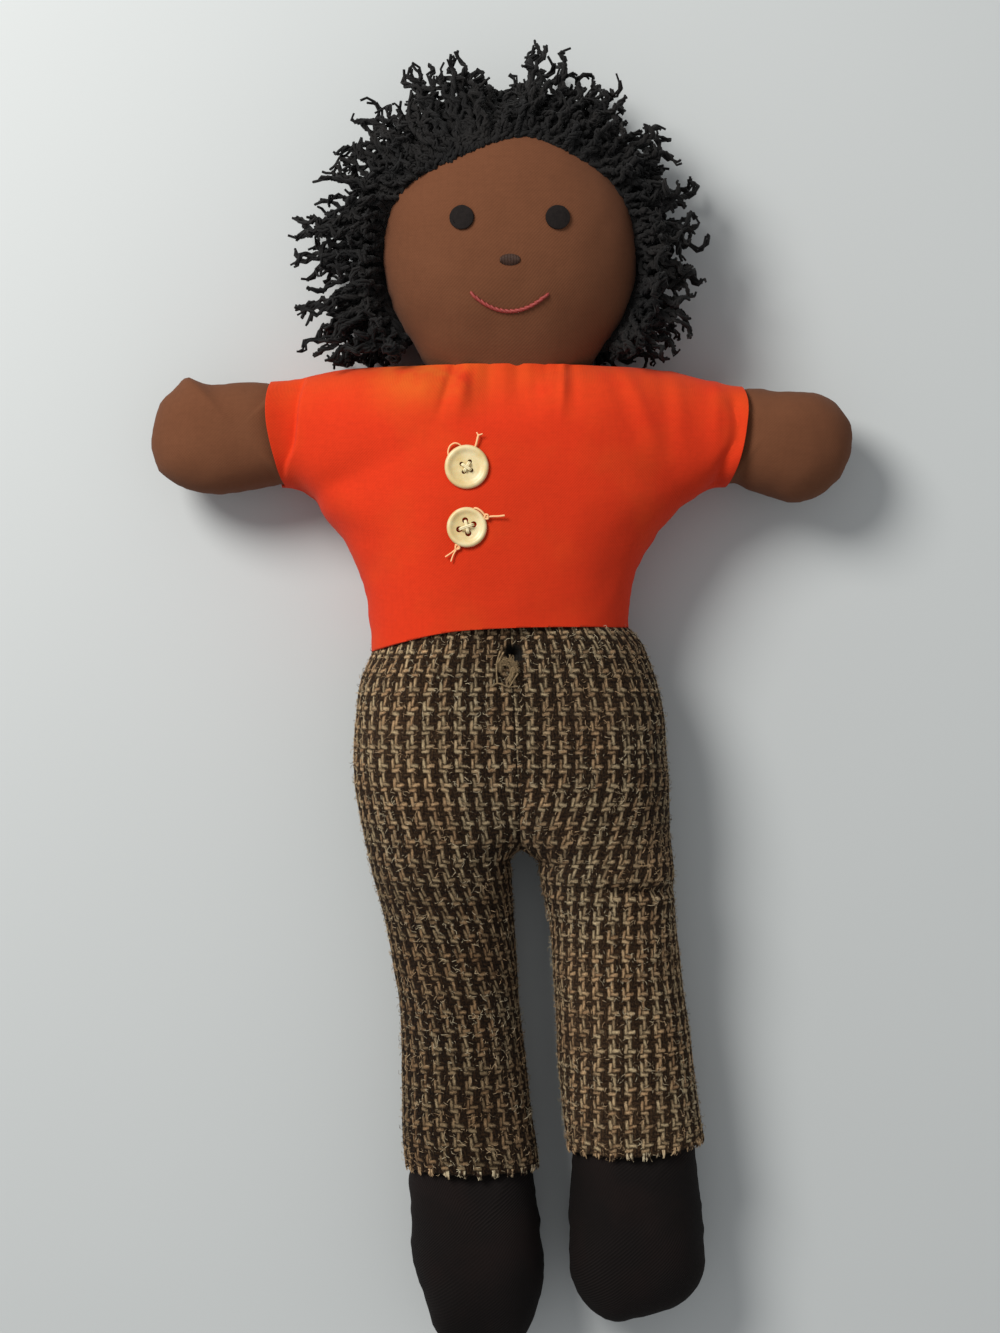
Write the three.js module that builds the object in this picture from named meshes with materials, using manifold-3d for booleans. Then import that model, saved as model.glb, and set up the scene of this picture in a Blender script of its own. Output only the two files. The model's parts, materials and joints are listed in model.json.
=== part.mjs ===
// A home-made cloth doll, lying on its back on a table.
// Every part is a bag of cloth, cut flat as a front and a back panel, sewn round the edge and
// filled with wadding. The neck, both shoulders and both hips bend.
// Lengths are millimetres. +Z points up out of the chest, +Y towards the head, and +X towards the
// doll's left, so the names left and right are the doll's own.
import * as THREE from 'three';
import { mergeVertices } from 'three/addons/utils/BufferGeometryUtils.js';
import Module from 'manifold-3d';

const wasm = await Module();
wasm.setup();

// Cloth and fits
const cottonWall = 0.8;
const tweedWall = 1.6;
const twillWall = 0.9;
const seamGap = 0.3;
const tuckClearance = 0.6; // round a hand in its sleeve, and a boot in its trouser leg
const flatDepth = 0.5; // how deep the doll's own weight presses its back flat

// The top, cut in one with its sleeves
const waistY = 20.5;
const waistTilt = 4; // degrees that the waist seam climbs towards the doll's left
const waistWidth = 76;
const waistDepth = 44;
const trunkDepth = 49;
const shoulderY = 97;
const shoulderDrop = 3; // from the neck to the end of the sleeve
const armpitFlare = 26; // how far the side seam runs out on its way up to the sleeve
const sleeveHeight = 32;
const sleeveDepth = 32.5;
const sleeveLevel = 19; // height of the arm's seam over the table
const sleeveReach = { left: 71, right: 68.5 }; // from the doll's middle to the sleeve's end
const collarWidth = 57;
const collarDepth = 38;

// The hands are stubby mittens, sewn inside the ends of the sleeves
const handLength = 33;
const handHeight = 32;
const handDepth = 29;
const handTuck = 7;
const fingertipReach = 19; // length of the rounded end
const shoulderX = 55; // from the doll's middle to the line where an arm folds
const shoulderFold = 60; // degrees

// The head is one bag with its neck
const headX = 2.5;
const headWidth = 75;
const headDepth = 49;
const headLevel = 28;
const browY = 134; // where the head is widest
const crownReach = 38;
const chinReach = 46;
const neckWidth = 47;
const neckDepth = 27;
const neckRoot = 20; // length of neck hidden in the top
const neckFold = 25; // degrees

// The trousers, with the place and length of each leg and boot
const seatX = 3;
const seatWidth = 92;
const seatDepth = 47;
const crotchX = 5.9;
const crotchY = -45;
const hipY = -32; // the line where the legs fold
const hipFold = 60; // degrees
const hipWidth = 43;
const hemWidth = 39.4;
const kneeWidth = 38;
const legDepth = 39;
const legs = {
  left: { hipX: 27.4, hemX: 39.7, hemY: -134, toeX: 39.2, bootLength: 48.5 },
  right: { hipX: -17.8, hemX: -8.3, hemY: -138.5, toeX: -5, bootLength: 52.5 },
};
const bootWidth = 39;
const bootDepth = 36;
const bootTuck = 8;
const toeReach = 21; // length of the rounded end

// The yarn hair, sewn in rows along the head's seam and over its back
const hairReach = 22.5; // beyond the head at the sides
const hairTop = 16; // beyond the crown
const hairDepth = 40;
const hairStart = 3.5; // from the shoulder line up to the lowest hair
const hairTuft = 1.6; // how far the curls stand in and out
const hairlineInset = 6; // how far the hair lies over the edge of the face
const hairMatTop = 12; // height of the mat of yarn under the head
const hairPart = 150; // the y where the crown's hair meets the side hair

// The face and the buttons
const eyeRadius = 3.4;
const eyeSpread = 13.5; // from the face's middle to each eye
const eyeY = 137;
const featureThickness = 1.1;
const noseY = 125;
const noseWidth = 5.4;
const noseHeight = 3.2;
const mouthY = 113.5;
const mouthWidth = 22;
const mouthSag = 5;
const mouthThread = 1.4;
const buttonX = -9.9;
const buttons = {
  upper_button: { y: 66.8, radius: 6.35, holeSpread: 1.5 },
  lower_button: { y: 49.5, radius: 5.9, holeSpread: 1.6 },
};
const buttonThickness = 2.2;
const buttonRim = 1.2;
const buttonDish = 0.6;
const holeRadius = 0.75;
const threadRadius = 0.4;
const knotX = 1.8;
const knotY = 10.5;
const knotRadius = 1.8;
const knotYarn = 0.6;

// How finely the round forms are drawn
const limbSides = 14;
const hairSides = 22;
const foldSides = 20;
const discSides = 16;
const holeSides = 6;
const domeSteps = 3;
const domeLimit = 78; // degrees of a quarter turn before the flat cap
const openRun = 3; // how far the inside of a form runs on past an open end
const farAway = 600;

const X = new THREE.Vector3(1, 0, 0);
const Y = new THREE.Vector3(0, 1, 0);
const Z = new THREE.Vector3(0, 0, 1);
const radians = THREE.MathUtils.degToRad;
const lerp = THREE.MathUtils.lerp;

// Solids from geometry, and geometry from solids
function solidOf(geometry) {
  const bare = geometry.index ? geometry.toNonIndexed() : geometry.clone();
  bare.deleteAttribute('normal');
  bare.deleteAttribute('uv');
  const merged = mergeVertices(bare, 1e-4);
  return new wasm.Manifold(new wasm.Mesh({
    numProp: 3,
    vertProperties: merged.attributes.position.array,
    triVerts: new Uint32Array(merged.index.array),
  }));
}

function geometryOf(solid) {
  const mesh = solid.getMesh();
  const geometry = new THREE.BufferGeometry();
  geometry.setAttribute('position', new THREE.BufferAttribute(mesh.vertProperties, 3));
  geometry.setIndex(new THREE.BufferAttribute(mesh.triVerts, 1));
  const facets = geometry.toNonIndexed();
  facets.computeVertexNormals();
  return facets;
}

const join = (...solids) => solids.reduce((whole, next) => whole.add(next));

// All the space past a plane through a point, on the side that the normal points to
function beyond(point, normal, gap = 0) {
  const box = new THREE.BoxGeometry(farAway, farAway, farAway).translate(0, 0, farAway / 2 + gap);
  const turn = new THREE.Quaternion().setFromUnitVectors(Z, normal.clone().normalize());
  return solidOf(box.applyQuaternion(turn).translate(point.x, point.y, point.z));
}

const above = (z, gap = 0) => beyond(new THREE.Vector3(0, 0, z), Z, gap);
const below = (z, gap = 0) => beyond(new THREE.Vector3(0, 0, z), Z.clone().negate(), gap);
const headward = (y, gap = 0) => beyond(new THREE.Vector3(0, y, 0), Y, gap);
const footward = (y, gap = 0) => beyond(new THREE.Vector3(0, y, 0), Y.clone().negate(), gap);

// A closed skin over rings that all have as many points, with a flat cap at each end
function skin(rings) {
  const sides = rings[0].length;
  const faces = [];
  for (let r = 0; r + 1 < rings.length; r += 1) {
    for (let i = 0; i < sides; i += 1) {
      const a = r * sides + i;
      const b = r * sides + ((i + 1) % sides);
      faces.push(a, b, a + sides, b, b + sides, a + sides);
    }
  }
  const last = (rings.length - 1) * sides;
  for (let i = 1; i + 1 < sides; i += 1) {
    faces.push(0, i + 1, i, last, last + i, last + i + 1);
  }
  const geometry = new THREE.BufferGeometry().setFromPoints(rings.flat());
  geometry.setIndex(faces);
  const solid = solidOf(geometry);
  if (solid.volume() > 0) return solid;
  geometry.setIndex(faces.reverse());
  return solidOf(geometry);
}

// A stuffed form follows stations along Y, or along X for an arm. Each station is
// [place along, middle across, level, half width, half depth].
// shrink draws the form in by a wall, and a negative shrink swells it. A shrunk form runs on past
// an end that is open, so that it leaves a mouth there.
function stuffed({ stations, axis = 'y', open = [], sides = limbSides, tuft = 0 }, shrink = 0) {
  const first = stations[0][0];
  const last = stations[stations.length - 1][0];
  const way = Math.sign(last - first);
  const newFirst = open.includes('first') ? first : first + way * shrink;
  const newLast = open.includes('last') ? last : last - way * shrink;
  const run = shrink > 0 ? way * openRun : 0;
  const rings = stations.map(([along, across, level, halfWidth, halfDepth], r) => {
    const mouth = (r === 0 && open.includes('first') ? -run : 0)
      + (along === last && open.includes('last') ? run : 0);
    const place = mouth + lerp(newFirst, newLast, (along - first) / (last - first));
    return Array.from({ length: sides }, (_, i) => {
      const turn = (2 * Math.PI * i) / sides;
      const proud = tuft * Math.cos(Math.PI * (i + r)) - shrink;
      const u = across + Math.cos(turn) * Math.max(halfWidth + proud, 0.5);
      const v = level + Math.sin(turn) * Math.max(halfDepth + proud, 0.5);
      return axis === 'x' ? new THREE.Vector3(place, u, v) : new THREE.Vector3(u, place, v);
    });
  });
  return skin(rings);
}

// Stations that round off an end as a quarter ellipse, going on from a last full station
function rounded([along, across, level, halfWidth, halfDepth], reach) {
  return Array.from({ length: domeSteps }, (_, i) => {
    const turn = radians(((i + 1) / domeSteps) * domeLimit);
    const size = Math.cos(turn);
    return [along + reach * Math.sin(turn), across, level, halfWidth * size, halfDepth * size];
  });
}

// A part's whole form, the cloth over it and the wadding in it, with the back flat on the table
function layersOf(forms, wall) {
  const whole = (shrink) => join(...forms.map((form) => stuffed(form, shrink)));
  const outer = whole(0).intersect(above(0));
  return {
    outer,
    cloth: outer.subtract(whole(wall).intersect(above(wall))),
    wadding: whole(wall + seamGap).intersect(above(wall + seamGap)),
  };
}

const cutLayers = (layers, cut) => Object.fromEntries(
  Object.entries(layers).map(([name, solid]) => [name, cut(solid)]));

// A fold: the child's end is a round knuckle that turns in its parent's socket. Outside the knuckle
// both sides lean back from each other at the front by half the fold.
function foldAt({ point, axis, outward, halfDepth, degrees, length, middle }) {
  const half = radians(degrees / 2);
  const radius = halfDepth / Math.cos(half);
  const bar = (extra) => {
    const rod = new THREE.CylinderGeometry(radius + extra, radius + extra, length + 2 * extra, foldSides);
    const turn = new THREE.Quaternion().setFromUnitVectors(Y, axis);
    return solidOf(rod.applyQuaternion(turn).translate(middle.x, middle.y, middle.z));
  };
  const lean = Z.clone().multiplyScalar(-Math.sin(half));
  const back = outward.clone().negate();
  return {
    child: beyond(point, outward)
      .intersect(beyond(point, outward.clone().multiplyScalar(Math.cos(half)).add(lean)))
      .add(bar(0)),
    parent: beyond(point, back, seamGap)
      .intersect(beyond(point, back.clone().multiplyScalar(Math.cos(half)).add(lean), seamGap))
      .subtract(bar(2 * seamGap)),
  };
}

const doll = new THREE.Group();

function put(name, solid, color, roughness = 0.9) {
  const material = new THREE.MeshStandardMaterial({ color, roughness });
  const mesh = new THREE.Mesh(geometryOf(solid), material);
  mesh.name = name;
  doll.add(mesh);
}

const orangeCotton = '#d9441f';
const brownCotton = '#6b3f28';
const brownTweed = '#5b4a3c';
const blackTwill = '#1f1a19';
const darkYarn = '#1b1918';
const whiteWadding = '#e6e0d2';
const darkFelt = '#16110f';
const brownThread = '#4a281a';
const roseThread = '#a4433a';
const ivoryShell = '#e6dcc0';
const creamThread = '#e3cf9f';

// A bag's front and back panels meet at its seam
function putPanels(frontName, backName, cloth, seamLevel, color) {
  put(frontName, cloth.intersect(above(seamLevel, seamGap / 2)), color);
  put(backName, cloth.intersect(below(seamLevel, seamGap / 2)), color);
}

// The folds
const trunkLevel = trunkDepth / 2 - flatDepth;
const seatLevel = seatDepth / 2 - flatDepth;
const sleeveY = shoulderY - shoulderDrop - sleeveHeight / 2;
const armpitY = sleeveY - sleeveHeight / 2;

const neckPoint = new THREE.Vector3(headX, shoulderY, trunkLevel);
const neck = foldAt({
  point: neckPoint,
  middle: neckPoint,
  axis: X,
  outward: Y,
  halfDepth: neckDepth / 2,
  degrees: neckFold,
  length: neckWidth + 4 * seamGap,
});

const armWay = { left: X.clone(), right: X.clone().negate() };
const sides = ['left', 'right'];
const shoulders = Object.fromEntries(sides.map((side) => {
  const point = new THREE.Vector3(armWay[side].x * shoulderX, 0, trunkLevel - 1.5);
  const length = 2 * sleeveHeight;
  const middle = point.clone().setY(armpitY - 4 + length / 2);
  const halfDepth = 0.38 * trunkDepth;
  return [side, foldAt({
    point, middle, axis: Y, outward: armWay[side], halfDepth, degrees: shoulderFold, length,
  })];
}));

const hipPoint = new THREE.Vector3(crotchX, hipY, seatLevel);
const hips = foldAt({
  point: hipPoint,
  middle: hipPoint,
  axis: X,
  outward: Y.clone().negate(),
  halfDepth: seatDepth / 2,
  degrees: hipFold,
  length: 2 * seatWidth,
});

// The waist seam parts the top from the trousers
const waistUp = Y.clone().applyAxisAngle(Z, radians(waistTilt));
const waistPoint = new THREE.Vector3(0, waistY, 0);
const overWaist = beyond(waistPoint, waistUp, seamGap / 2);
const underWaist = beyond(waistPoint, waistUp.clone().negate(), seamGap / 2);

// The top's trunk, straight up from the waist and then flaring out under the arms.
// The side seam: share of the way up to the armpit, and share of the flare there
const sideSeam = [[0, 0], [0.22, 0.03], [0.42, 0.13], [0.62, 0.29], [0.82, 0.52], [1, 0.9]];
// Above the armpit: share of the way up, share of the flare, drop in level, share of the depth
const shoulderSlope = [[0.4, 0.7, 0.4, 0.47], [0.75, 0.1, 1, 0.4], [1, -0.15, 1, 0.22]];

const trunkForm = {
  stations: [
    [waistY - 12, 0, waistDepth / 2 - flatDepth, waistWidth / 2, waistDepth / 2],
    ...sideSeam.map(([rise, flare]) => {
      const halfDepth = lerp(waistDepth / 2, trunkDepth / 2, Math.min(1, 1.6 * rise));
      return [
        lerp(waistY, armpitY, rise),
        -1.6 * Math.sin(Math.PI * rise),
        halfDepth - flatDepth,
        waistWidth / 2 + flare * armpitFlare,
        halfDepth,
      ];
    }),
    ...shoulderSlope.map(([rise, flare, drop, depth]) => {
      const halfWidth = waistWidth / 2 + flare * armpitFlare;
      return [lerp(armpitY, shoulderY, rise), 0, trunkLevel - drop, halfWidth, depth * trunkDepth];
    }),
  ],
};

function sleeveForm(side) {
  const way = armWay[side].x;
  const reach = sleeveReach[side];
  return {
    axis: 'x',
    open: ['last'],
    stations: [
      [0, sleeveY + shoulderDrop, trunkLevel - 1, 0.53 * sleeveHeight, 0.44 * trunkDepth],
      [way * 0.4 * reach, sleeveY + 0.7 * shoulderDrop, trunkLevel - 1.2,
        0.55 * sleeveHeight, 0.43 * trunkDepth],
      [way * 0.64 * reach, sleeveY + 0.4 * shoulderDrop, lerp(trunkLevel, sleeveLevel, 0.4),
        0.54 * sleeveHeight, 0.59 * sleeveDepth],
      [way * 0.84 * reach, sleeveY + 0.1 * shoulderDrop, lerp(trunkLevel, sleeveLevel, 0.8),
        0.52 * sleeveHeight, 0.53 * sleeveDepth],
      [way * reach, sleeveY, sleeveLevel, sleeveHeight / 2, sleeveDepth / 2],
    ],
  };
}

// The collar is drawn up round the neck by a gathering thread
const collarForm = {
  open: ['last'],
  stations: [
    [shoulderY - 22, headX, trunkLevel, 0.55 * collarWidth, 0.55 * collarDepth],
    [shoulderY - 9, headX, trunkLevel, 0.53 * collarWidth, 0.53 * collarDepth],
    [shoulderY + 0.5, headX, trunkLevel, collarWidth / 2, collarDepth / 2],
  ],
};

const top = layersOf([trunkForm, sleeveForm('left'), sleeveForm('right'), collarForm], cottonWall);
const topUnderNeck = cutLayers(top, (layer) => layer.intersect(overWaist).intersect(neck.parent));
const trunk = cutLayers(topUnderNeck, (layer) => layer
  .intersect(shoulders.left.parent)
  .intersect(shoulders.right.parent));
putPanels('top_front_panel', 'top_back_panel', trunk.cloth, trunkLevel, orangeCotton);
put('torso_stuffing', trunk.wadding, whiteWadding);

// Each arm is a sleeve with a mitten hand sewn inside its end
for (const side of sides) {
  const way = armWay[side].x;
  const start = sleeveReach[side] - handTuck;
  const end = sleeveReach[side] + handLength;
  const inSleeve = cottonWall + tuckClearance;
  const tuckHeight = sleeveHeight / 2 - inSleeve;
  const tuckDepth = Math.min(sleeveDepth / 2 - inSleeve, handDepth / 2);
  const palm = [way * (end - fingertipReach), sleeveY - 0.6, sleeveLevel, handHeight / 2, handDepth / 2];
  const hand = layersOf([{
    axis: 'x',
    open: ['first'],
    stations: [
      [way * start, sleeveY, sleeveLevel, tuckHeight, tuckDepth],
      [way * sleeveReach[side], sleeveY, sleeveLevel, tuckHeight, tuckDepth],
      [way * lerp(sleeveReach[side], end - fingertipReach, 0.4), sleeveY, sleeveLevel,
        0.48 * handHeight, 0.5 * handDepth],
      palm,
      ...rounded(palm, way * fingertipReach),
    ],
  }], cottonWall);
  const arm = cutLayers(topUnderNeck, (layer) => layer.intersect(shoulders[side].child));
  const handTop = new THREE.Vector3(way * start, 0, 0);
  const beforeHand = beyond(handTop, armWay[side].clone().negate(), seamGap);
  putPanels(`${side}_sleeve_front`, `${side}_sleeve_back`, arm.cloth, sleeveLevel, orangeCotton);
  putPanels(`${side}_hand_front`, `${side}_hand_back`, hand.cloth, sleeveLevel, brownCotton);
  put(`${side}_arm_stuffing`, join(arm.wadding.intersect(beforeHand), hand.wadding), whiteWadding);
}

// The head's bag is round, and its neck runs down into the collar
const brow = [browY, headX, headLevel, headWidth / 2, headDepth / 2];
const skullForm = {
  stations: [
    ...rounded(brow, -chinReach).reverse(),
    brow,
    ...rounded(brow, crownReach),
  ],
};
const neckForm = {
  stations: [
    [shoulderY - neckRoot, headX, trunkLevel, neckWidth / 2, neckDepth / 2],
    [shoulderY + 2, headX, trunkLevel, neckWidth / 2, neckDepth / 2],
    [lerp(shoulderY, browY, 0.4), headX, lerp(trunkLevel, headLevel, 0.7),
      0.37 * headWidth, 0.34 * headDepth],
  ],
};
const headForms = [skullForm, neckForm];
const head = cutLayers(layersOf(headForms, cottonWall), (layer) => layer.intersect(neck.child));
putPanels('face_panel', 'head_back_panel', head.cloth, headLevel, brownCotton);
put('head_stuffing', head.wadding, whiteWadding);

// Something laid on the head lies a seam's gap off the cloth
const swollenHead = (gap) => join(...headForms.map((form) => stuffed(form, -gap)));
const roundHead = swollenHead(seamGap);

// The hair is one thick halo round the head, in a mat, two sides and a crown
const hairLow = shoulderY + hairStart;
const hairHigh = browY + crownReach + hairTop;
const hairHalf = headWidth / 2 + hairReach;
// Share of the way up the hair, and how wide it is there
const hairOutline = [[0, 0.76], [0.08, 0.9], [0.18, 0.98], [0.3, 1], [0.42, 1], [0.54, 0.96],
  [0.66, 0.88], [0.78, 0.73], [0.88, 0.54], [0.96, 0.31], [1, 0.12]];
const hairForm = {
  sides: hairSides,
  tuft: hairTuft,
  stations: hairOutline.map(([rise, size]) => [
    lerp(hairLow, hairHigh, rise),
    headX - 2,
    hairDepth / 2,
    size * hairHalf,
    (0.3 + 0.7 * size) * (hairDepth / 2),
  ]),
};
const faceHalf = headWidth / 2 - hairlineInset;
const faceWindow = join(
  solidOf(new THREE.CylinderGeometry(1, 1, farAway, discSides)
    .rotateX(Math.PI / 2)
    .scale(faceHalf, crownReach - hairlineInset, 1)
    .translate(headX, browY, headLevel + farAway / 2)),
  solidOf(new THREE.BoxGeometry(2 * faceHalf, browY, farAway)
    .translate(headX, browY / 2, headLevel + farAway / 2)),
);
const hair = stuffed(hairForm)
  .intersect(above(0))
  .intersect(neck.child)
  .subtract(roundHead)
  .subtract(faceWindow);
const hairFringe = hair.intersect(above(hairMatTop, seamGap));
const sideHair = hairFringe.intersect(footward(hairPart));
const headMiddle = new THREE.Vector3(headX, 0, 0);
put('hair_back', hair.intersect(below(hairMatTop)), darkYarn);
put('hair_crown', hairFringe.intersect(headward(hairPart, seamGap)), darkYarn);
for (const side of sides) {
  put(`hair_${side}`, sideHair.intersect(beyond(headMiddle, armWay[side])), darkYarn);
}

// The eyes are felt rounds, and the nose and mouth are satin stitch, all following the face
const onFace = swollenHead(seamGap + featureThickness).subtract(roundHead).intersect(above(headLevel));

function post(x, y, halfWidth, halfHeight) {
  return solidOf(new THREE.CylinderGeometry(1, 1, headDepth, discSides)
    .rotateX(Math.PI / 2)
    .scale(halfWidth, halfHeight, 1)
    .translate(x, y, headLevel + headDepth / 2));
}

for (const side of sides) {
  const eyeX = headX + armWay[side].x * eyeSpread;
  put(`${side}_eye`, onFace.intersect(post(eyeX, eyeY, eyeRadius, eyeRadius)), darkFelt);
}
put('nose', onFace.intersect(post(headX, noseY, noseWidth / 2, noseHeight / 2)), brownThread);

const smile = new THREE.Shape();
smile.moveTo(-mouthWidth / 2, mouthThread / 2);
smile.quadraticCurveTo(0, mouthThread / 2 - 2 * mouthSag, mouthWidth / 2, mouthThread / 2);
smile.lineTo(mouthWidth / 2, -mouthThread / 2);
smile.quadraticCurveTo(0, -mouthThread / 2 - 2 * mouthSag, -mouthWidth / 2, -mouthThread / 2);
const smilePost = new THREE.ExtrudeGeometry(
  smile, { depth: headDepth, bevelEnabled: false, curveSegments: 8 })
  .translate(headX, mouthY + mouthSag / 2, headLevel);
put('mouth', onFace.intersect(solidOf(smilePost)), roseThread);

// The highest point of a form inside an upright round of this radius
function restLevel(form, x, y, radius) {
  const round = solidOf(new THREE.CylinderGeometry(radius, radius, farAway, discSides)
    .rotateX(Math.PI / 2)
    .translate(x, y, 0));
  const patch = geometryOf(form.intersect(round));
  patch.computeBoundingBox();
  return patch.boundingBox.max.z;
}

// Each shell button has a raised rim and four holes, sewn on with a crossed stitch
const cornersOf = (spread) => [[1, 1], [-1, -1], [1, -1], [-1, 1]]
  .map(([x, y]) => [x * spread, y * spread]);

function buttonSolid({ radius, holeSpread }) {
  const rimTop = buttonThickness;
  const face = buttonThickness - buttonDish;
  const profile = [
    [0, 0], [radius - 0.6, 0], [radius, 0.6], [radius, rimTop - 0.5], [radius - 0.5, rimTop],
    [radius - buttonRim, rimTop], [radius - buttonRim - buttonDish, face], [0, face],
  ].map(([r, z]) => new THREE.Vector2(r, z));
  const blank = solidOf(new THREE.LatheGeometry(profile, discSides).rotateX(Math.PI / 2));
  return cornersOf(holeSpread).reduce((button, [x, y]) => button.subtract(
    solidOf(new THREE.CylinderGeometry(holeRadius, holeRadius, 4 * buttonThickness, holeSides)
      .rotateX(Math.PI / 2)
      .translate(x, y, 0))), blank);
}

// A stitch comes up one hole, crosses the button's face and goes down the hole opposite
function stitchSolid({ holeSpread }) {
  const corners = cornersOf(holeSpread);
  const top = buttonThickness - buttonDish + threadRadius + seamGap;
  const leg = ([x, y]) => solidOf(new THREE.CylinderGeometry(threadRadius, threadRadius, top, holeSides)
    .rotateX(Math.PI / 2)
    .translate(x, y, top / 2));
  const across = (from, to) => {
    const length = 2 * Math.hypot(...from) + 2 * threadRadius;
    const turn = Math.atan2(to[1] - from[1], to[0] - from[0]);
    return solidOf(new THREE.CylinderGeometry(threadRadius, threadRadius, length, holeSides)
      .rotateZ(Math.PI / 2)
      .rotateZ(turn)
      .translate(0, 0, top));
  };
  return join(across(corners[0], corners[1]), across(corners[2], corners[3]), ...corners.map(leg));
}

for (const [name, button] of Object.entries(buttons)) {
  const level = restLevel(top.outer, buttonX, button.y, button.radius) + seamGap;
  put(name, buttonSolid(button).translate(buttonX, button.y, level), ivoryShell, 0.35);
  put(`${name}_thread`, stitchSolid(button).translate(buttonX, button.y, level), creamThread);
}

// The seat and both legs of the trousers
const seatForm = {
  stations: [
    [waistY + 12, 0.5, seatLevel - 1.5, waistWidth / 2 + 1, waistDepth / 2],
    [waistY - 9, 0.8 * seatX, seatLevel - 0.5, 0.455 * seatWidth, 0.49 * seatDepth],
    [0, 0.9 * seatX, seatLevel, 0.485 * seatWidth, seatDepth / 2],
    [hipY + 18, seatX, seatLevel, seatWidth / 2, seatDepth / 2],
    [hipY, 1.3 * seatX, seatLevel, 0.495 * seatWidth, seatDepth / 2],
    [crotchY, crotchX, seatLevel - 4, 0.45 * seatWidth, 0.4 * seatDepth],
    [crotchY - 4, crotchX, seatLevel - 6, 0.33 * seatWidth, 0.24 * seatDepth],
  ],
};

const legStation = ({ hipX, hemX, hemY }) => (share, sway, width, depth) => [
  lerp(hipY, hemY, share), lerp(hipX, hemX, share) + sway, depth / 2 - flatDepth, width / 2, depth / 2];

function legForm(side) {
  const station = legStation(legs[side]);
  const hipDepth = lerp(seatDepth, legDepth, 0.3);
  return {
    open: ['last'],
    stations: [
      station(-0.3, 0, 0.96 * hipWidth, 0.9 * hipDepth),
      station(-0.1, 0, 1.06 * hipWidth, hipDepth),
      station(0.15, 0, hipWidth, lerp(hipDepth, legDepth, 0.4)),
      station(0.35, 0.3, lerp(hipWidth, kneeWidth, 0.75), legDepth),
      station(0.55, 0.2, kneeWidth, legDepth),
      station(0.8, 0, 0.99 * hemWidth, legDepth),
      station(1, 0, hemWidth, legDepth),
    ],
  };
}

const trousers = layersOf([seatForm, legForm('left'), legForm('right')], tweedWall);
const seat = cutLayers(trousers, (layer) => layer.intersect(underWaist).intersect(hips.parent));
const crotchPoint = new THREE.Vector3(crotchX, 0, 0);
for (const side of sides) {
  const half = beyond(crotchPoint, armWay[side], seamGap / 2);
  put(`trousers_${side}_seat`, seat.cloth.intersect(half), brownTweed);
}
put('seat_stuffing', seat.wadding, whiteWadding);

// The space of one leg: its side of the crotch, and below that its side of the gap between the legs
const gapLean = Math.atan2(
  (legs.left.hemX + legs.right.hemX) / 2 - crotchX, -(legs.left.hemY + legs.right.hemY) / 2 + crotchY);

function legSpace(side) {
  const upper = beyond(crotchPoint, armWay[side], seamGap / 2).intersect(headward(crotchY - 7));
  const legsPart = new THREE.Vector3(crotchX, crotchY, 0);
  const lower = beyond(legsPart, armWay[side].clone().applyAxisAngle(Z, gapLean), seamGap / 2);
  return join(upper, lower.intersect(footward(crotchY - 6)));
}

// Each leg is a tweed tube with a twill boot sewn inside its hem
for (const side of sides) {
  const { hemX, hemY, toeX, bootLength } = legs[side];
  const legLevel = legDepth / 2 - flatDepth;
  const tuckX = lerp(hemX, legs[side].hipX, bootTuck / (hipY - hemY));
  const tuckWidth = hemWidth / 2 - tweedWall - tuckClearance;
  const tuckDepth = Math.min(legDepth, bootDepth) / 2 - tweedWall - tuckClearance;
  const bootLevel = bootDepth / 2 - flatDepth;
  const ball = [hemY - bootLength + toeReach, lerp(hemX, toeX, 0.7), bootLevel,
    bootWidth / 2, bootDepth / 2];
  const boot = layersOf([{
    open: ['first'],
    stations: [
      [hemY + bootTuck, tuckX, legLevel, tuckWidth, tuckDepth],
      [hemY, hemX, legLevel, tuckWidth, tuckDepth],
      [lerp(hemY, ball[0], 0.2), hemX, bootLevel, 0.48 * bootWidth, 0.49 * bootDepth],
      [lerp(hemY, ball[0], 0.6), lerp(hemX, toeX, 0.3), bootLevel, bootWidth / 2, bootDepth / 2],
      ball,
      ...rounded(ball, -toeReach),
    ],
  }], twillWall);
  const leg = cutLayers(trousers, (layer) => layer.intersect(hips.child).intersect(legSpace(side)));
  put(`${side}_trouser_leg`, leg.cloth, brownTweed);
  putPanels(`${side}_boot_front`, `${side}_boot_back`, boot.cloth, bootLevel, blackTwill);
  const aboveBoot = headward(hemY + bootTuck, seamGap);
  put(`${side}_leg_stuffing`, join(leg.wadding.intersect(aboveBoot), boot.wadding), whiteWadding);
}

// A yarn knot closes the waist in front
const knot = solidOf(new THREE.TorusKnotGeometry(knotRadius, knotYarn, 20, 4));
const knotBounds = new THREE.Box3().setFromBufferAttribute(geometryOf(knot).attributes.position);
const knotLevel = restLevel(trousers.outer, knotX, knotY, knotRadius + knotYarn) + seamGap;
put('waist_knot', knot.translate(knotX, knotY, knotLevel - knotBounds.min.z), brownTweed);

// The origin is on the table, under the middle of the doll
const bounds = new THREE.Box3().setFromObject(doll);
const centre = bounds.getCenter(new THREE.Vector3());
doll.position.set(-centre.x, -centre.y, -bounds.min.z);
doll.updateMatrixWorld(true);

export default doll;
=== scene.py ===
import json
import math
import random

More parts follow.
